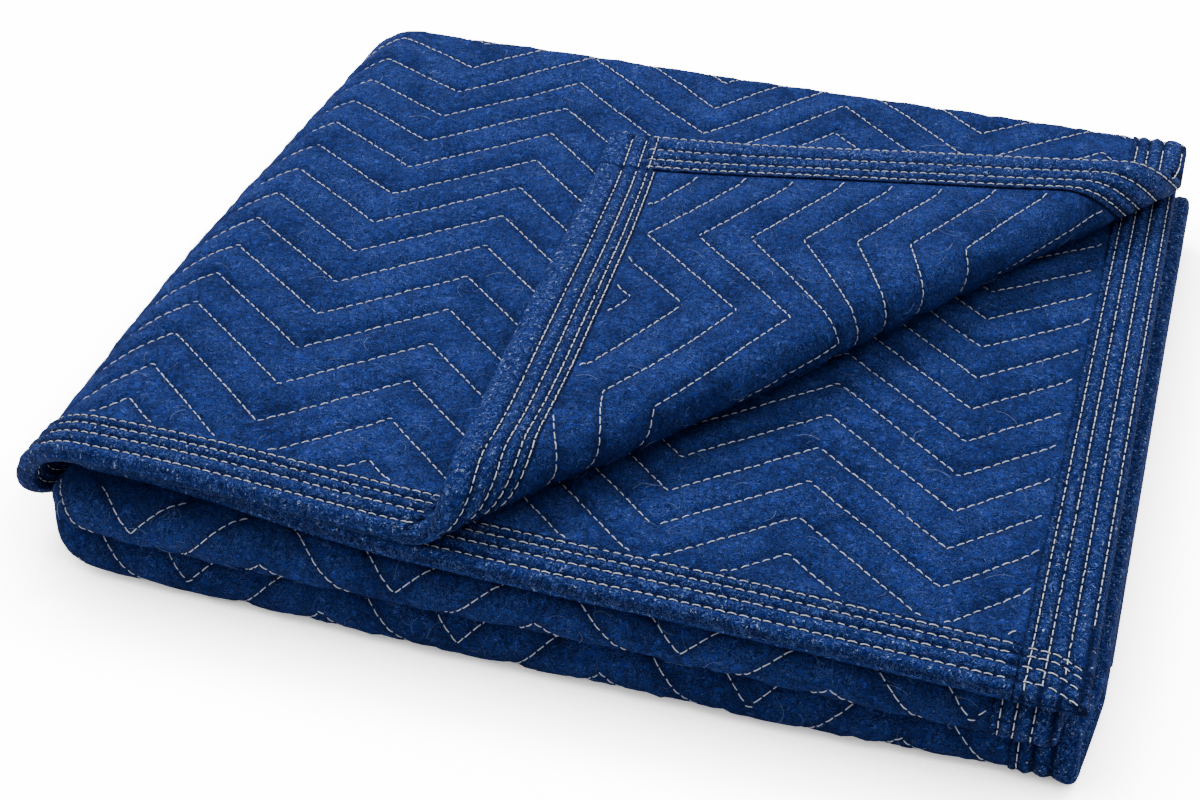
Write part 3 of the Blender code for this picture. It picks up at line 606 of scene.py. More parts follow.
def panel_half(a, b, near, along, face):
    """Half the panel's thickness on one face: hollow along the rows, puckered by the thread."""
    half = SHEET / 2
    for size, grain, seed in UNEVEN:
        half = half + size * wander(a / grain, b / grain, seed + face)
    back = smooth(b, B_BACK_OUT - 0.050, B_BACK_OUT - 0.010)
    front = smooth(b, B_FRONT - 0.030, B_FRONT - 0.010)
    calm = 1 - 0.65 * back * (1 - smooth(b, B_SECOND, B_SECOND + 0.04))
    calm = calm - 0.45 * front * (1 - smooth(b, B_THIRD + 0.010, B_THIRD + 0.030))
    half = half - GROOVE_DEPTH * calm * np.exp(-((near / GROOVE_SPREAD) ** 2))
    half = half - HOLLOW_DEPTH * calm * np.exp(-((near / HOLLOW_SPREAD) ** 2))
    beside = np.exp(-(((near - 0.003) / 0.0045) ** 2))
    half = half + PUCKER * wander(along / 0.010, near / 0.02, 21 + face) * beside
    reach = edge_reach(a, b)
    half = np.where(reach < 0.0, EDGE_HALF, blend(BOUND_HALF, half, smooth(reach, 0.0, 0.007)))
    fold = np.maximum(np.maximum(B_FRONT - 0.08 - b, b - B_THIRD), 0.0) / 0.014
    turn = np.maximum(np.abs(a - TURN_X + TURN_LENGTH / 2) - TURN_LENGTH / 2, 0.0) / 0.014
    return half * (1 - CORNER_SQUEEZE * np.exp(-(fold**2) - turn**2))


def shown_area(a, b):
    """Where a face of the panel can be seen, so that it gets fine faces."""
    top = (b < B_SECOND) & ((a > TURN_END - 0.01) | (b > B_BACK_OUT - 0.01))
    inner = (b > B_FOURTH) & (a > 0.17)
    band = (b > B_FRONT - 0.024) & (b < B_THIRD + 0.02)
    return top | inner | band


def panel_points(rows):
    """Flat points and the edges kept between them."""
    rng = np.random.default_rng(5)
    points, edges, taken = [], [], []

    def line(values):
        start = len(points)
        points.extend((float(p[0]), float(p[1])) for p in values)
        edges.extend((start + i, start + i + 1) for i in range(len(values) - 1))

    def add(spots, keep):
        points.extend((float(p[0]), float(p[1])) for p in spots[keep])

    def add_across(spots, reach):
        """Points along a fold, kept off the stitched rows and the bindings' inner edges."""
        near, _ = finder.find(spots)
        add(spots, (near > 0.004) & ((reach > 0.008) | (reach < -0.002)))

    low_a, high_a, low_b, high_b = LEFT_FLAT + INSET, WIDTH - INSET, INSET, LENGTH - INSET
    wide, tall = int((high_a - low_a) / 0.008), int((high_b - low_b) / 0.008)
    ring = [(low_a + (high_a - low_a) * i / wide, low_b) for i in range(wide)]
    ring += [(high_a, low_b + (high_b - low_b) * i / tall) for i in range(tall)]
    ring += [(high_a - (high_a - low_a) * i / wide, high_b) for i in range(wide)]
    ring += [(low_a, high_b - (high_b - low_b) * i / tall) for i in range(tall)]
    line(ring + [ring[0]])
    for extra in (0.0008, 0.0030, 0.0062):
        front = np.linspace(LEFT_IN + extra, RIGHT_IN - extra, 190)
        line([(v, float(front_width(v)) + extra) for v in front])
        line([(v, END_IN - extra) for v in front])
        side = np.linspace(BINDING + extra, END_IN - extra, 330)
        line([(RIGHT_IN - extra, v) for v in side if v > front_width(WIDTH) + extra])
        line([(LEFT_IN + extra, v) for v in side])
    loose = []
    for run, _ in rows:
        marks = run[::4] if len(run) % 4 == 1 else np.concatenate([run[::4], run[-1:]])
        line(marks)
        taken.append(marks)
        way = np.gradient(marks, axis=0)
        way /= np.linalg.norm(way, axis=1, keepdims=True)
        side = np.stack([-way[:, 1], way[:, 0]], -1)
        for offset in (0.0015, 0.0034, 0.0065):
            for sign in (1, -1):
                spots = marks + side * offset * sign
                step = 1 if offset < 0.006 else 2
                loose.append((spots[::step], offset))
    for spots, offset in loose:
        near, _ = finder.find(spots)
        add(spots, (near > offset * 0.85) & inside_panel(spots, 0.009 if offset > 0.003 else 0.008))
    for spacing, fine in ((0.0068, True), (0.0175, False)):
        across, deep = np.arange(low_a, high_a, spacing), np.arange(low_b, high_b, spacing * 0.87)
        a, b = np.meshgrid(across, deep)
        a = a + (np.arange(a.shape[0]) % 2)[:, None] * spacing / 2
        spots = np.stack([a.ravel(), b.ravel()], -1) + rng.uniform(-0.1, 0.1, (a.size, 2)) * spacing
        near, _ = finder.find(spots)
        shown = shown_area(spots[:, 0], spots[:, 1])
        add(spots, (near > 0.0095) & (shown == fine) & inside_panel(spots, 0.0085))
    folds = ((B_BACK_OUT, OUTER_TURN, 12), (B_FRONT, FRONT_TURN, 12), (B_BACK_IN, INNER_TURN, 6))
    for first, length, count in folds:
        for i in range(count + 1):
            a = np.linspace(low_a + 0.002, high_a - 0.002, 90)
            spots = np.stack([a, np.full(90, first + length * i / count)], -1)
            add_across(spots, np.minimum(a - LEFT_FLAT - BINDING, RIGHT_IN - a))
    for i in range(25):
        b = np.linspace(low_b + 0.002, high_b - 0.002, 120)
        spots = np.stack([np.full(120, TURN_X - TURN_LENGTH * i / 24), b], -1)
        add_across(spots, np.minimum(b - BINDING, END_IN - b))
    return points, edges


def inside_panel(spots, pad):
    """True for flat points inside the bindings by more than the pad."""
    return edge_reach(spots[:, 0], spots[:, 1]) > pad


def add_panel(rows, material):
    points, edges = panel_points(rows)
    found = delaunay_2d_cdt([Vector(p) for p in points], edges, [], 0, 1e-5)
    flat = np.array([(p.x, p.y) for p in found[0]])
    faces = np.array(found[2])
    one, two = flat[faces[:, 1]] - flat[faces[:, 0]], flat[faces[:, 2]] - flat[faces[:, 0]]
    turned = one[:, 0] * two[:, 1] - one[:, 1] * two[:, 0] < 0
    faces = np.where(turned[:, None], faces[:, ::-1], faces)
    near, along = finder.find(flat)
    a, b = flat[:, 0], flat[:, 1]
    up = place(a, b, panel_half(a, b, near, along, 1))
    down = place(a, b, -panel_half(a, b, near, along, 0))
    for side in (up, down):
        side[:, 2] = np.maximum(side[:, 2], FLOOR_CLEAR)
    count = len(flat)
    solid = [tuple(f) for f in faces] + [tuple(f[::-1] + count) for f in faces]
    uses = {(f[i], f[(i + 1) % 3]) for f in faces.tolist() for i in range(3)}
    for i, j in uses:
        if (j, i) not in uses:
            solid += [(j, i, i + count, j + count)]
    body = make_mesh("quilted_panel", np.concatenate([up, down]), solid, material)
    # Closeness to the stitched rows: the weight of the painted shade in the felt.
    hollow = np.tile(np.exp(-((near / 0.0030) ** 2)), 2)
    mark_points(body, hollow, "flat", np.concatenate([flat, flat]))
    return body


# ---- the edge bindings ----

# Distances of a binding's stitched rows from its inner edge.
TOP_ROWS = (0.0015, 0.0075, 0.0145, 0.0235)
FLAP_FRONT_ROWS = (0.0014, 0.0050, 0.0108, 0.0186)
FLAP_SIDE_ROWS = (0.0033, 0.0098, 0.0182, 0.0292)
SIDE_ROWS = (0.0042, 0.0115, 0.0200, 0.0285)
INNER_ROWS = (0.0020, 0.0080, 0.0150, 0.0240)
LOWER_ROWS = (0.0040, 0.0115, 0.0200, 0.0200)

# The side binding's own rows stop this far from its front end, where other rows cross it.
CORNER_CUT = 0.030


def crossing_rows(a):
    """Where the front bindings' rows run across the side binding, at its two ends."""
    wide = float(front_width(WIDTH))
    sag = 0.008 * smooth(a, WIDTH - 0.020, WIDTH)
    low = [wide - row * wide / BINDING + 0 * a for row in FLAP_FRONT_ROWS[1:]]
    high = [END_IN + row + sag for row in (0.0030, *INNER_ROWS[1:])]
    return low, high


def crossing_gap(node, a, b):
    """Distance to the nearest crossing row, and how far the binding's own rows count."""
    if node != "binding_side_upper":
        return np.full(np.shape(b), 1.0), 0 * b
    low, high = crossing_rows(a)
    gap = np.min([np.abs(b - row) for row in low + high], axis=0)
    return gap, 0.02 * (1 - smooth(b, CORNER_CUT - 0.004, CORNER_CUT))


def rows_at(node, station):
    """The stitched rows of one binding at a station along it."""
    kind, value = station
    if node == "binding_front_outer":
        far = smooth(value, 0.0, 0.060) if kind == "roll" else float(value > 0.3)
        return blend(np.array(TOP_ROWS), np.array(FLAP_FRONT_ROWS), far)
    if node == "binding_side_upper":
        return np.array(FLAP_SIDE_ROWS if kind == "roll" or value < B_SECOND else SIDE_ROWS)
    return np.array(INNER_ROWS if node == "binding_front_inner" else LOWER_ROWS)


def front_spot(station, inward):
    kind, value = station
    return follow_roll(value, 1, inward) if kind == "roll" else (value, inward)


def front_back_spot(station, inward):
    return station[1], LENGTH - inward


def side_spot(station, inward):
    kind, value = station
    return follow_roll(value, 0, WIDTH - inward) if kind == "roll" else (WIDTH - inward, value)


def side_low_spot(station, inward):
    return LEFT_FLAT + inward, station[1]


def plain_width(edge):
    """The same width all along; the edge is taken as outer_width takes it, but not used."""
    return BINDING


def outer_width(edge):
    return float(front_width(edge[0]))


def reach_of(station, spot, width):
    """The binding's width along a station, from the panel's edge to its inner edge."""
    wide = float(width(spot(station, 0.0)))
    for _ in range(3):
        wide = float(width(spot(station, wide)))
    return wide


def run_of(kind, start, end, step):
    count = max(1, int(round(abs(end - start) / step)))
    return [(kind, start + (end - start) * i / count) for i in range(count + 1)]


def path(kind, start, *stops):
    """Stations of one kind from a start through several stops, each stop with its own step."""
    stations = []
    for end, step in stops:
        stations = stations[:-1] + run_of(kind, start, end, step)
        start = end
    return stations


ROLL_END = 0.160
JOIN = 0.0004
CLOSE_START = 0.0040
FINE, EVEN, COARSE = 0.0012, 0.0036, 0.008
FRONT_OUT = path("flat", LEFT_IN + JOIN, (-0.10, 0.009), (0.206, EVEN))
FRONT_OUT += path("roll", 0.0, (0.060, 0.0020), (ROLL_END, EVEN))
FRONT_OUT += path("flat", 0.4572, (RIGHT_IN - JOIN, EVEN))
FRONT_IN = path("flat", LEFT_IN + JOIN, (0.02, 0.010), (RIGHT_IN - JOIN, EVEN))
CLOSE_LOW = [("flat", step) for step in (0.0, 0.0003, 0.0008, 0.0014, 0.0022, 0.0024, 0.0030)]
CLOSE_HIGH = [(kind, LENGTH - step) for kind, step in (("flat", CLOSE_START), *CLOSE_LOW[::-1])]
INNER_STOPS = ((B_BACK_IN, COARSE), (B_FOURTH, 0.0025))
SIDE_UP = CLOSE_LOW + path("flat", CLOSE_START, (0.060, FINE), (0.112, EVEN))
SIDE_UP += path("roll", ROLL_END, (0.060, EVEN), (0.0, 0.0020))
SIDE_UP += path(
    "flat",
    0.4300,
    (B_SECOND, 0.0030),
    (B_FRONT - 0.03, COARSE),
    (B_THIRD + 0.03, 0.0030),
    *INNER_STOPS,
    (END_IN, EVEN),
    (LENGTH - CLOSE_START, FINE),
)[:-1]
SIDE_UP += CLOSE_HIGH
SIDE_LOW = CLOSE_LOW + path(
    "flat",
    CLOSE_START,
    (B_BACK_OUT, COARSE),
    (B_SECOND, 0.0030),
    (B_FRONT - 0.06, COARSE),
    (B_THIRD + 0.06, 0.0030),
    *INNER_STOPS,
    (LENGTH - CLOSE_START, COARSE),
)[:-1]
SIDE_LOW += CLOSE_HIGH


def fullness(node, station, level):
    """How full the ribs are on each face: full where the face shows, flat where it lies on cloth."""
    kind, value = station
    shown = -1.0
    if kind == "roll":
        shown = 1.0 - 2.0 * smooth(value, 0.006, 0.030)
    elif node == "binding_front_outer":
        shown = 1.0 if value < 0.21 else -1.0
    elif node == "binding_side_upper" and 0.40 < value < B_THIRD:
        back = smooth(value, B_BACK_OUT - 0.055, B_BACK_OUT - 0.025)
        shown = 1.0 - 1.1 * back * (1 - smooth(value, B_SECOND, B_SECOND + 0.02))
        shown = shown - 0.7 * smooth(value, B_FRONT - 0.030, B_FRONT)
    elif node == "binding_side_lower":
        shown = 1.0 - 0.9 * smooth(value, B_FRONT - 0.050, B_FRONT - 0.020)
    return 0.30 + 0.70 * np.clip(0.5 + 0.5 * level * shown, 0.0, 1.0)


def ribbon_height(inward, width, travel, face, seed, spots, full, crossing, away):
    """Height of the binding's outer face over its own width: soft ribs between the stitched rows."""
    scale = width / BINDING
    from_inner = (width - inward) / scale
    travel = travel + 0 * inward
    near = np.min([np.abs(from_inner - spot) for spot in spots], axis=0)
    near = np.minimum(near + away, crossing)
    height = SHEET / 2 - 0.00035 + 0.0019 * full * (1 - np.exp(-((near / 0.0030) ** 2)))
    height = height - 0.00055 * np.exp(-((near / 0.0009) ** 2))
    height = height - 0.0010 * np.exp(-((from_inner / 0.0012) ** 2))
    coarse = np.where(face > 0, 0.0, 0.3)
    height = height + 0.00034 * full * wander(travel / 0.012 + coarse, from_inner / 0.010, seed)
    return height + 0.00022 * full * wander(travel / 0.0050 + coarse, from_inner / 0.0050, seed + 7)


def end_close(node, station):
    """A side binding's ends are turned in and sewn shut: how open its outside and its pocket are."""
    kind, value = station
    if kind == "roll" or not node.startswith("binding_side"):
        return 1.0, 1.0
    left = min(value, LENGTH - value)
    round_in = np.clip(left / 0.0024, 0.0, 1.0)
    outside = 0.10 + 0.90 * float(np.sqrt(1 - (1 - round_in) ** 2))
    return outside, 0.04 + 0.96 * float(left > INSET - 0.0002)


def add_ribbon(name, node, stations, spot, width, material, seed):
    """A binding as a strip folded round one edge of the panel, with a thin wall and its ribs."""
    outer = np.linspace(1.0, 0.0, 42)
    share = np.concatenate([outer, outer[::-1][1:], [1.0, 0.0, 0.0, 1.0]])
    level = np.concatenate([np.ones(42), -np.ones(41), np.zeros(4)])
    inner_level = EDGE_HALF + BINDING_GAP
    travel, last = [], None
    for station in stations:
        p = np.array(spot(station, 0.0), float)
        travel.append(0.0 if last is None else travel[-1] + float(np.hypot(*(p - last))))
        last = p
    a, b, n, uv, hollow = [], [], [], [], []
    for station, t in zip(stations, travel):
        wide = reach_of(station, spot, width)
        inward = share * wide
        spots = rows_at(node, station)
        points = spot(station, inward)
        crossing, away = crossing_gap(node, points[0] + 0 * inward, points[1] + 0 * inward)
        full = fullness(node, station, level)
        height = ribbon_height(inward, wide, t, level, seed, spots, full, crossing, away)
        # Closeness to the rows, the inner edge and the crossing rows: the weight of the painted shade on the
        # binding.
        gaps = [np.abs((1 - share) * BINDING - row) + away for row in spots]
        gaps += [np.abs((1 - share) * BINDING + 0.0006), crossing]
        hollow.append(np.exp(-((np.min(gaps, axis=0) / 0.0018) ** 2)))
        edge = np.clip(inward / 0.0042, 0.0, 1.0)
        height = level * height * np.sqrt(np.clip(1 - (1 - edge) ** 2.2, 0.0, 1.0))
        outside, pocket = end_close(node, station)
        height = height * outside
        inward[-4:] = (wide, 0.0018, 0.0018, wide)
        height[-4:] = np.array((-inner_level, -inner_level, inner_level, inner_level)) * pocket
        points = spot(station, inward)
        a.append(points[0] + 0 * inward)
        b.append(points[1] + 0 * inward)
        n.append(height)
        strip_y = (1 - share) * BINDING + np.where(height < 0, 0.1, 0.0)
        uv.append(np.stack([t + 0 * inward, strip_y], -1))
    a, b, n, uv = (np.concatenate(values) for values in (a, b, n, uv))
    points = place(a, b, n)
    points[:, 2] = np.maximum(points[:, 2], FLOOR_CLEAR)
    size = len(points) // len(stations)
    faces = []
    for k in range(len(stations) - 1):
        for i in range(size):
            j = (i + 1) % size
            faces.append((k * size + i, k * size + j, (k + 1) * size + j, (k + 1) * size + i))
    last = (len(stations) - 1) * size
    faces += [tuple(range(size))[::-1], tuple(range(last, last + size))]
    quads = np.array(faces[:-2])
    one, two, three, four = (points[quads[:, i]] for i in range(4))
    volume = (one * (np.cross(two, three) + np.cross(three, four))).sum()
    if volume < 0:
        faces = [f[::-1] for f in faces]
    body = make_mesh(name, points, faces, material)
    mark_points(body, np.concatenate(hollow), "strip", uv)
    return body


# ---- stitches and loose fibres, set out as points with a direction ----


def lay_out(rows3d, pitch, dash, lift, rng, skip=0.0):
    """Stitch places along polylines of (point, outward normal): centre, direction, normal and length."""
    spots, ways, ups, sizes = [], [], [], []
    for line, normal in rows3d:
        step = np.linalg.norm(np.diff(line, axis=0), axis=1)
        travel = np.concatenate([[0.0], np.cumsum(step)])
        count = int(travel[-1] / pitch)
        if count < 1:
            continue
        offset = rng.uniform(0.0, 0.4) * pitch
        for i in range(count):
            middle = offset + (i + 0.5) * pitch + rng.normal(0, 0.00018)
            length = dash * rng.uniform(0.90, 1.08)
            if middle + length / 2 > travel[-1] or rng.uniform() < skip:
                continue
            places = (middle - length / 2, middle, middle + length / 2)
            ends = [np.array([np.interp(v, travel, line[:, k]) for k in range(3)]) for v in places]
            up = np.array([np.interp(middle, travel, normal[:, k]) for k in range(3)])
            up /= np.linalg.norm(up)
            way = ends[2] - ends[0]
            way = way + np.cross(up, way) * rng.normal(0, 0.045)
            spots.append(ends[1] + up * lift)
            ways.append(way / np.linalg.norm(way))
            ups.append(up)
            sizes.append(length)
    return np.array(spots), np.array(ways), np.array(ups), np.array(sizes)


def surface_line(points, heights, face):
    """Positions and outward normals on one face of the panel or a binding."""
    points = np.asarray(points)
    line = place(points[:, 0], points[:, 1], heights * face)
    over = place(points[:, 0], points[:, 1], (heights + 0.001) * face)
    normal = over - line
    return line, normal / np.linalg.norm(normal, axis=1, keepdims=True)


def on_panel(spots, face):
    """Positions and outward normals of flat points on one face of the panel."""
    near, along = finder.find(spots)
    height = panel_half(spots[:, 0], spots[:, 1], near, along, int(face == 1))
    return surface_line(spots, height, face)


def turn_to(ways, ups):
    """Euler angles that carry X onto each direction and Z onto each normal."""
    angles = []
    for way, up in zip(ways, ups):
        side = np.cross(up, way)
        side /= np.linalg.norm(side)
        top = np.cross(way, side)
        matrix = Matrix((way, side, top)).transposed()
        angles.append(tuple(matrix.to_euler()))
    return np.array(angles)


def thread_tree(name, curved, default):
    """A Geometry Nodes tree: a short bent thread, set on every point and turned and stretched to fit."""
    tree = bpy.data.node_groups.new(name, "GeometryNodeTree")
    face = tree.interface
    face.new_socket("Geometry", in_out="INPUT", socket_type="NodeSocketGeometry")
    sizes = {}
    for label, value in default.items():
        sizes[label] = face.new_socket(label, in_out="INPUT", socket_type="NodeSocketFloat")
        sizes[label].default_value = value
    paint = face.new_socket("Material", in_out="INPUT", socket_type="NodeSocketMaterial")
    face.new_socket("Geometry", in_out="OUTPUT", socket_type="NodeSocketGeometry")
    nodes, links = tree.nodes, tree.links
    nodes, links = tree.nodes, tree.links
    entry, leave = nodes.new("NodeGroupInput"), nodes.new("NodeGroupOutput")
    bend = nodes.new("GeometryNodeCurveQuadraticBezier")
    bend.inputs["Resolution"].default_value = 6 if curved else 5
    start, crown, end = (nodes.new("ShaderNodeCombineXYZ") for _ in range(3))
    start.inputs["X"].default_value, end.inputs["X"].default_value = -0.5, 0.5
    ring = nodes.new("GeometryNodeCurvePrimitiveCircle")
    ring.inputs["Resolution"].default_value = 3 if curved else 5
    tube = nodes.new("GeometryNodeCurveToMesh")
    tube.inputs["Fill Caps"].default_value = True
    put = nodes.new("GeometryNodeInstanceOnPoints")
    turn, size = (nodes.new("GeometryNodeInputNamedAttribute") for _ in range(2))
    for node, label in ((turn, "turn"), (size, "size")):
        node.data_type = "FLOAT_VECTOR"
        node.inputs["Name"].default_value = label
    euler = nodes.new("FunctionNodeEulerToRotation")
    real = nodes.new("GeometryNodeRealizeInstances")
    colour = nodes.new("GeometryNodeSetMaterial")
    wires = (
        (entry.outputs["Sink"], start.inputs["Z"]),
        (entry.outputs["Sink"], end.inputs["Z"]),
        (entry.outputs["Crown"], crown.inputs["Z"]),
        (entry.outputs["Sway"], crown.inputs["Y"]),
        (start.outputs[0], bend.inputs["Start"]),
        (crown.outputs[0], bend.inputs["Middle"]),
        (end.outputs[0], bend.inputs["End"]),
        (entry.outputs["Thickness"], ring.inputs["Radius"]),
        (bend.outputs[0], tube.inputs["Curve"]),
        (ring.outputs[0], tube.inputs["Profile Curve"]),
        (entry.outputs["Geometry"], put.inputs["Points"]),
        (tube.outputs[0], put.inputs["Instance"]),
        (turn.outputs["Attribute"], euler.inputs[0]),
        (euler.outputs[0], put.inputs["Rotation"]),
        (size.outputs["Attribute"], put.inputs["Scale"]),
        (put.outputs[0], real.inputs[0]),
        (real.outputs[0], colour.inputs["Geometry"]),
        (entry.outputs["Material"], colour.inputs["Material"]),
        (colour.outputs[0], leave.inputs[0]),
    )
    for source, target in wires:
        links.new(source, target)
    return tree, sizes, paint


def set_threads(name, laid, tree_parts, values, material, spread=None):
    """Runs a thread tree over the laid-out points and keeps the result as a plain mesh."""
    spots, ways, ups, lengths = laid
    tree, sizes, paint = tree_parts
    mesh = bpy.data.meshes.new(name + "_points")
    mesh.from_pydata(spots.tolist(), [], [])
    across = lengths if spread is None else spread
    scale = np.stack([lengths, across, np.abs(across)], -1)
    for label, vectors in (("turn", turn_to(ways, ups)), ("size", scale)):
        layer = mesh.attributes.new(label, "FLOAT_VECTOR", "POINT")
        layer.data.foreach_set("vector", vectors.astype(np.float32).ravel())
    holder = add_object(name + "_points", mesh)
    modifier = holder.modifiers.new("threads", "NODES")
    modifier.node_group = tree
    for label, value in values.items():
        modifier[sizes[label].identifier] = value
    modifier[paint.identifier] = material
    bpy.context.view_layer.update()
    graph = bpy.context.evaluated_depsgraph_get()
    made = bpy.data.meshes.new_from_object(holder.evaluated_get(graph))
    made.name = name
    made.shade_smooth()
    body = add_object(name, made)
    bpy.data.objects.remove(holder)
    if not made.materials:
        made.materials.append(material)
    return body


# ---- materials ----

# The floor's camera-only glow, and the reach and power of its painted contact shadow.
FLOOR_LIFT = 13.5
FLOOR_SHADE_REACH, FLOOR_SHADE_POWER = 0.060, 2.3
WORLD_LIGHT = 0.55
FELT_DARK = (0.0016, 0.0070, 0.055)
FELT_MID = (0.0110, 0.0300, 0.210)
FELT_LIGHT = (0.0200, 0.0500, 0.330)
FELT_STRAND = (0.1200, 0.2150, 0.720)
BINDING_DARK = (0.0004, 0.0034, 0.036)
BINDING_MID = (0.0110, 0.0290, 0.205)
BINDING_LIGHT = (0.1250, 0.2350, 0.760)
BINDING_FLECK = (0.55, 0.70, 1.0)
WEAVE_ROW, WEAVE_PITCH = 0.0036, 0.0030


class Paint:
    """A node tree filled in with numbers and sockets."""

    def __init__(self, tree):
        self.nodes, self.links = tree.nodes, tree.links

    def feed(self, socket, value):
        if hasattr(value, "links"):
            self.links.new(value, socket)
        else:
            socket.default_value = (*value, 1.0) if isinstance(value, tuple) else value

    def node(self, kind, values=(), **settings):
        node = self.nodes.new(kind)
        for label, value in settings.items():
            setattr(node, label, value)
        for key, value in dict(values).items():
            self.feed(node.inputs[key], value)
        return node

    def maths(self, operation, *values):
        return self.node("ShaderNodeMath", enumerate(values), operation=operation).outputs[0]

    def times(self, first, second):
        return self.maths("MULTIPLY", first, second)

    def plus(self, first, second):
        return self.maths("ADD", first, second)

    def noise(self, vector, scale, detail, roughness=0.5, distortion=0.0):
        values = {"Vector": vector, "Scale": scale, "Detail": detail}
        values |= {"Roughness": roughness, "Distortion": distortion}
        return self.node("ShaderNodeTexNoise", values).outputs["Fac"]

    def mix(self, factor, first, second):
        values = {0: factor, 6: first, 7: second}
        return self.node("ShaderNodeMix", values, data_type="RGBA").outputs[2]

    def ramp(self, value, low, high):
        values = {"From Min": low, "From Max": high, "Value": value}
        return self.node("ShaderNodeMapRange", values).outputs["Result"]

    def fibres(self, tree, strand_size, cloud_size):
        values = {"Strand size": strand_size, "Cloud size": cloud_size}
        return self.node("ShaderNodeGroup", values, node_tree=tree).outputs

    def paint_row_shade(self, tone, share, dark):
        """Mixes painted shade into the tone where the hollow weight is high, along the stitching."""
        hollow = self.node("ShaderNodeAttribute", attribute_name="hollow")
        return self.mix(self.times(hollow.outputs["Fac"], share), tone, dark)


def new_material(name):
    material = bpy.data.materials.new(name)
    material.use_nodes = True
    return material, Paint(material.node_tree)


def cloth(material, paint, tone, height, strength, distance, **values):
    """Sets the tone, the bump and the named values of a material's own shader."""
    bump = {"Strength": strength, "Distance": distance, "Height": height}
    normal = paint.node("ShaderNodeBump", bump).outputs["Normal"]
    inputs = material.node_tree.nodes["Principled BSDF"].inputs
    paint.feed(inputs["Base Color"], tone)
    paint.feed(inputs["Normal"], normal)
    for label, value in values.items():
        paint.feed(inputs[label.replace("_", " ")], value)
    return material


def fibre_group():
    """Matted fibres: curly strands, a cloudy mask and a height, all in Object space."""
    tree = bpy.data.node_groups.new("fibre_haze", "ShaderNodeTree")
    for label, value in (("Strand size", 400.0), ("Cloud size", 60.0)):
        socket = tree.interface.new_socket(label, in_out="INPUT", socket_type="NodeSocketFloat")
        socket.default_value = value
    for label in ("Strands", "Creases", "Cloud", "Height"):
        tree.interface.new_socket(label, in_out="OUTPUT", socket_type="NodeSocketFloat")
    paint = Paint(tree)
    entry = paint.node("NodeGroupInput").outputs
    where = paint.node("ShaderNodeTexCoord").outputs["Object"]
    size = entry["Strand size"]
    first = paint.noise(where, size, 1.5, 0.5, 1.1)
    second = paint.noise(where, paint.times(size, 0.61), 1.5, 0.5, 1.6)

    def curl(value, middle, thin):
        gap = paint.maths("ABSOLUTE", paint.maths("SUBTRACT", value, middle))
        return paint.maths("MAXIMUM", paint.maths("SUBTRACT", 1.0, paint.times(gap, thin)), 0.0)

    strands = paint.maths("MAXIMUM", curl(first, 0.46, 30.0), curl(first, 0.58, 26.0))
    strands = paint.maths("MAXIMUM", strands, curl(second, 0.52, 42.0))
    creases = paint.maths("MAXIMUM", curl(first, 0.52, 24.0), curl(second, 0.44, 30.0))
    cloud = paint.noise(where, entry["Cloud size"], 5.0, 0.62)
    dust = paint.noise(where, paint.times(size, 3.1), 2.0, 0.6)
    height = paint.maths("SUBTRACT", paint.times(strands, 0.6), paint.times(creases, 0.6))
    height = paint.plus(height, paint.times(dust, 0.7))
    paint.node("NodeGroupOutput", {"Creases": creases, "Strands": strands, "Cloud": cloud, "Height": height})
    return tree


def felt_material(haze):
    """Dense blue felt: dark between matted fibres, with paler strands, and painted shade along the stitching.
    """
    material, paint = new_material("felt")
    fine = paint.fibres(haze, 290.0, 260.0)
    broad = paint.fibres(haze, 120.0, 30.0)
    tone = paint.mix(paint.ramp(fine["Cloud"], 0.36, 0.64), FELT_DARK, FELT_MID)
    tone = paint.mix(paint.ramp(broad["Cloud"], 0.25, 0.90), tone, FELT_LIGHT)
    patchy = paint.ramp(broad["Cloud"], 0.30, 0.62)
    curls = paint.times(paint.times(fine["Strands"], patchy), 0.68)
    tone = paint.mix(curls, tone, FELT_STRAND)
    tone = paint.mix(paint.times(fine["Creases"], 0.78), tone, FELT_DARK)
    stray = paint.times(broad["Strands"], paint.ramp(fine["Cloud"], 0.52, 0.66))
    tone = paint.mix(paint.times(stray, 0.35), tone, FELT_STRAND)
    # Painted shade in the hollows along the stitched rows.
    tone = paint.paint_row_shade(tone, 0.55, FELT_DARK)
    height = paint.plus(fine["Height"], paint.times(broad["Cloud"], 1.8))
    looks = {"Roughness": 0.95, "Specular_IOR_Level": 0.06}
    looks |= {"Sheen_Weight": 0.10, "Sheen_Roughness": 0.45, "Sheen_Tint": (0.24, 0.36, 1.0)}
    return cloth(material, paint, tone, height, 1.0, 0.0021, **looks)


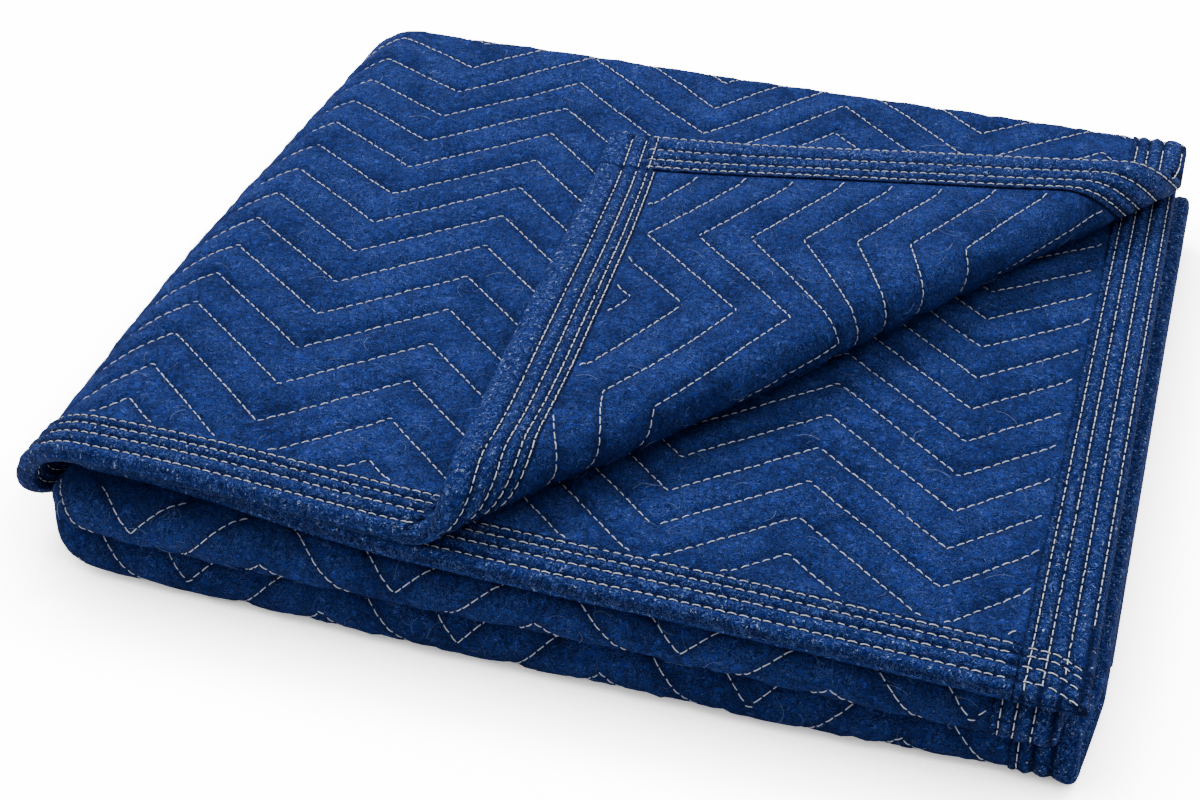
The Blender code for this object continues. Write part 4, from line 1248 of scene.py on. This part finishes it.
def binding_material(haze):
    """Looped binding yarn: crowded curls with bright flecks over a slanting weave along the strip, with
    painted shade along its stitching.
    """
    material, paint = new_material("binding")
    strip = paint.node("ShaderNodeUVMap", uv_map="strip").outputs["UV"]
    parts = paint.node("ShaderNodeSeparateXYZ", {0: strip}).outputs
    across = paint.maths("PINGPONG", parts["Y"], WEAVE_ROW)
    slant = paint.plus(parts["X"], paint.times(across, 0.9))
    slant = paint.plus(slant, paint.times(paint.noise(strip, 220.0, 2.0), 0.0060))
    weave = paint.maths("SINE", paint.times(slant, 2 * np.pi / WEAVE_PITCH))
    weave = paint.ramp(weave, -0.6, 0.95)
    loops = paint.fibres(haze, 310.0, 300.0)
    fleck = paint.noise(strip, 480.0, 2.0, 0.6)
    tone = paint.mix(paint.plus(0.50, paint.times(weave, 0.50)), BINDING_DARK, BINDING_MID)
    curls = paint.times(loops["Strands"], paint.ramp(loops["Cloud"], 0.34, 0.54))
    tone = paint.mix(paint.times(curls, 0.85), tone, BINDING_LIGHT)
    tone = paint.mix(paint.times(loops["Creases"], 0.68), tone, BINDING_DARK)
    spark = paint.times(paint.ramp(fleck, 0.60, 0.65), paint.ramp(loops["Strands"], 0.25, 0.7))
    tone = paint.mix(spark, tone, BINDING_FLECK)
    # Painted shade along the binding's stitched rows, its inner edge against the felt and the crossing rows.
    tone = paint.paint_row_shade(tone, 0.92, BINDING_DARK)
    height = paint.plus(paint.times(weave, 0.4), loops["Height"])
    looks = {"Roughness": 0.70, "Specular_IOR_Level": 0.05}
    looks |= {"Sheen_Weight": 0.03, "Sheen_Roughness": 0.4, "Sheen_Tint": (0.26, 0.42, 1.0)}
    return cloth(material, paint, tone, height, 1.0, 0.0010, **looks)


def thread_material(name, light, dark, haze):
    """Spun thread, a little darker in its twist."""
    material, paint = new_material(name)
    fibres = paint.fibres(haze, 2400.0, 300.0)
    tone = paint.mix(paint.ramp(fibres["Cloud"], 0.3, 0.7), dark, light)
    looks = {"Roughness": 0.5, "Sheen_Weight": 0.35, "Sheen_Tint": (0.80, 0.86, 1.0)}
    return cloth(material, paint, tone, fibres["Height"], 0.5, 0.0002, **looks)


def floor_material():
    """Plain white studio floor that glows for the camera only, without lighting the stack from below; ambient
    occlusion dims the glow near the stack as a painted contact shadow.
    """
    material, paint = new_material("studio_floor")
    ray = paint.node("ShaderNodeLightPath").outputs["Is Camera Ray"]
    # Painted contact shadow: the camera-only glow fades by ambient occlusion near the stack.
    close = paint.node("ShaderNodeAmbientOcclusion", {"Distance": FLOOR_SHADE_REACH}, samples=4)
    soft = paint.maths("POWER", close.outputs["AO"], FLOOR_SHADE_POWER)
    looks = {"Base Color": (0.90, 0.90, 0.905), "Roughness": 0.9, "Specular IOR Level": 0.0}
    looks["Emission Color"] = (FLOOR_LIFT, FLOOR_LIFT, FLOOR_LIFT)
    looks["Emission Strength"] = paint.times(ray, soft)
    for label, value in looks.items():
        paint.feed(material.node_tree.nodes["Principled BSDF"].inputs[label], value)
    return material


# ---- put together ----

haze = fibre_group()
felt = felt_material(haze)
woven = binding_material(haze)
quilt_thread = thread_material("quilting_thread", (0.84, 0.88, 1.0), (0.60, 0.66, 0.90), haze)
binding_thread = thread_material("binding_thread", (0.92, 0.95, 1.0), (0.72, 0.78, 0.98), haze)
lint_colour = thread_material("lint", (0.16, 0.26, 0.56), (0.07, 0.14, 0.38), haze)

rows = quilting(PAD)
finder = RowFinder(rows)
panel = add_panel(rows, felt)
EDGES = (
    ("front_binding_outer", "binding_front_outer", FRONT_OUT, front_spot, outer_width, 31),
    ("side_binding_upper", "binding_side_upper", SIDE_UP, side_spot, plain_width, 47),
    ("front_binding_inner", "binding_front_inner", FRONT_IN, front_back_spot, plain_width, 63),
    ("side_binding_lower", "binding_side_lower", SIDE_LOW, side_low_spot, plain_width, 79),
)
ribbons = {}
for name, node, stations, spot, width, seed in EDGES:
    ribbons[node] = add_ribbon(name, node, stations, spot, width, woven, seed)

rng = np.random.default_rng(12)
quilt_lines = []
for run, faces in quilting(NEAR_EDGE):
    for face in faces:
        quilt_lines.append(on_panel(run[::2], face))
# Stitch pitch with the length of thread that shows, and how far it stands off the cloth.
QUILT_STITCH, BINDING_STITCH = (0.0055, 0.0041), (0.0054, 0.0040)
STITCH_LIFT = 0.00020
quilt_laid = lay_out(quilt_lines, *QUILT_STITCH, STITCH_LIFT, rng)

ROW_HEIGHT = SHEET / 2 - 0.0008


def on_side(station):
    return station[0] == "roll" or CORNER_CUT <= station[1] < B_BACK_OUT - 0.005


SHOWN_ROWS = {
    "binding_front_outer": ((1, -1), lambda station: station[0] == "roll" or station[1] > -0.075),
    "binding_side_upper": ((1, -1), on_side),
    "binding_front_inner": ((-1,), lambda station: station[1] > 0.15),
}
binding_lines = []


def add_row(points, face, lift=0.0):
    """One of a binding's stitched rows, from its flat points."""
    binding_lines.append(surface_line(points, np.full(len(points), ROW_HEIGHT + lift), face))


for name, node, stations, spot, width, seed in EDGES:
    if node not in SHOWN_ROWS:
        continue
    faces, shows = SHOWN_ROWS[node]
    keep = [station for station in stations if shows(station)]
    for face in faces:
        for number in range(4):
            points = []
            for station in keep:
                wide = reach_of(station, spot, width)
                inward = wide - rows_at(node, station)[number] * wide / BINDING
                points.append(tuple(float(v) for v in spot(station, inward)))
            add_row(points, face)
SIDE_RUNS = (
    (-1, B_FOURTH + 0.004, LENGTH - 0.002, RIGHT_IN, SIDE_ROWS[:2]),
    (-1, B_FOURTH + 0.004, LENGTH - 0.017, RIGHT_IN, SIDE_ROWS[2:3]),
    (-1, B_FOURTH + 0.004, LENGTH - 0.046, RIGHT_IN, SIDE_ROWS[3:]),
    (1, B_FRONT - 0.010, B_THIRD + 0.010, RIGHT_IN, SIDE_ROWS[:3]),
    (1, B_BACK_OUT, B_SECOND, RIGHT_IN, FLAP_SIDE_ROWS),
    (1, B_FRONT - 0.020, B_THIRD + 0.014, LEFT_IN, [-row for row in LOWER_ROWS[:1]]),
    (1, B_BACK_OUT, B_SECOND, LEFT_IN, [-row for row in LOWER_ROWS[:3]]),
)
for face, low, high, edge, spots in SIDE_RUNS:
    for row in spots:
        b = np.arange(low, high, 0.002)
        add_row(np.stack([np.full(len(b), edge + row), b], -1), face)
# The front bindings' rows run on across the side binding at both corners.
a = np.arange(RIGHT_IN + 0.001, WIDTH - 0.0025, 0.001)
for b in sum(crossing_rows(a), []):
    add_row(np.stack([a, b], -1), -1, 0.0002)
binding_laid = lay_out(binding_lines, *BINDING_STITCH, STITCH_LIFT, rng)

SIZES = {"Thickness": 0.09, "Sink": -0.10, "Crown": 0.16, "Sway": 0.0}
stitch_tree = thread_tree("lockstitch", False, SIZES)
fibre_tree = thread_tree("loose_fibre", True, SIZES)
stitch_values = {"Thickness": 0.072, "Sink": -0.10, "Crown": 0.17, "Sway": 0.0}
quilt_stitches = set_threads("quilting_stitches", quilt_laid, stitch_tree, stitch_values, quilt_thread)
binding_stitches = set_threads("binding_stitches", binding_laid, stitch_tree, stitch_values, binding_thread)


def scatter(count, seed):
    """Loose fibres lying on the faces that show."""
    spread = np.random.default_rng(seed)
    spots = []
    while sum(len(s) for s, _ in spots) < count:
        a, b = spread.uniform(LEFT_FLAT, WIDTH, 4000), spread.uniform(0, LENGTH, 4000)
        flat = np.stack([a, b], -1)
        inside = inside_panel(flat, 0.006)
        outer = in_top(a, b) | in_upper_band(a, b) | in_lower_band(a, b)
        spots.append((flat[inside & outer], 1))
        spots.append((flat[inside & (in_flap(a, b) | in_inner(a, b))], -1))
    lines = [on_panel(flat, face) for flat, face in spots]
    where = np.concatenate([p for p, _ in lines])[:count]
    up = np.concatenate([n for _, n in lines])[:count]
    way = np.cross(up, spread.normal(size=(len(where), 3)))
    way /= np.linalg.norm(way, axis=1, keepdims=True)
    length = spread.gamma(3.0, 0.0016, len(where)) + 0.0012
    return where + up * 0.00025, way, up, length


FIBRE_COUNT = 3400
fibre_laid = scatter(FIBRE_COUNT, 40)
curl = np.random.default_rng(8).uniform(-1.0, 1.0, len(fibre_laid[3])) * fibre_laid[3]
fibre_values = {"Thickness": 0.011, "Sink": 0.0, "Crown": 0.05, "Sway": 0.45}
loose_fibres = set_threads("loose_fibres", fibre_laid, fibre_tree, fibre_values, lint_colour, curl)

# ---- studio ----

floor_mesh = bpy.data.meshes.new("floor")
floor_mesh.from_pydata([(-6, -6, 0), (6, -6, 0), (6, 6, 0), (-6, 6, 0)], [], [(0, 1, 2, 3)])
floor_mesh.materials.append(floor_material())
floor = add_object("floor", floor_mesh)
floor.location.z = -0.0004

world = bpy.data.worlds.new("studio")
bpy.context.scene.world = world
world.use_nodes = True
paint = Paint(world.node_tree)
glance = paint.node("ShaderNodeLightPath").outputs["Is Camera Ray"]
sky = world.node_tree.nodes["Background"].inputs
paint.feed(sky["Color"], (1.0, 1.0, 1.0))
paint.feed(sky["Strength"], paint.plus(paint.times(glance, FLOOR_LIFT), WORLD_LIGHT))


def area_light(name, at, aim, size, power):
    data = bpy.data.lights.new(name, "AREA")
    data.shape = "DISK"
    data.size = size
    data.energy = power
    lamp = add_object(name, data)
    lamp.location = at
    lamp.rotation_mode = "QUATERNION"
    lamp.rotation_quaternion = (Vector(aim) - Vector(at)).to_track_quat("-Z", "Y")


area_light("key", (-0.9, 0.9, 1.9), (0, 0, 0.05), 1.1, 66.0)
area_light("fill", (1.15, 0.75, 1.9), (0, 0, 0.05), 1.5, 21.0)

camera_data = bpy.data.cameras.new("camera")
camera_data.lens = 58.77
camera_data.sensor_width = 36.0
camera = add_object("camera", camera_data)
camera.location = (0.23735599, -0.86314434, 0.654758)
camera.rotation_euler = (np.pi / 2 - 0.640684755, 0.0, 0.313033843)
bpy.context.scene.camera = camera

# ---- attach the pieces to one root and hide the CAD parts ----

pieces = [panel, *ribbons.values(), quilt_stitches, binding_stitches, loose_fibres]
for piece in pieces:
    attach(piece, "root")
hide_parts("quilt")
for node, ribbon in ribbons.items():
    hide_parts(node)
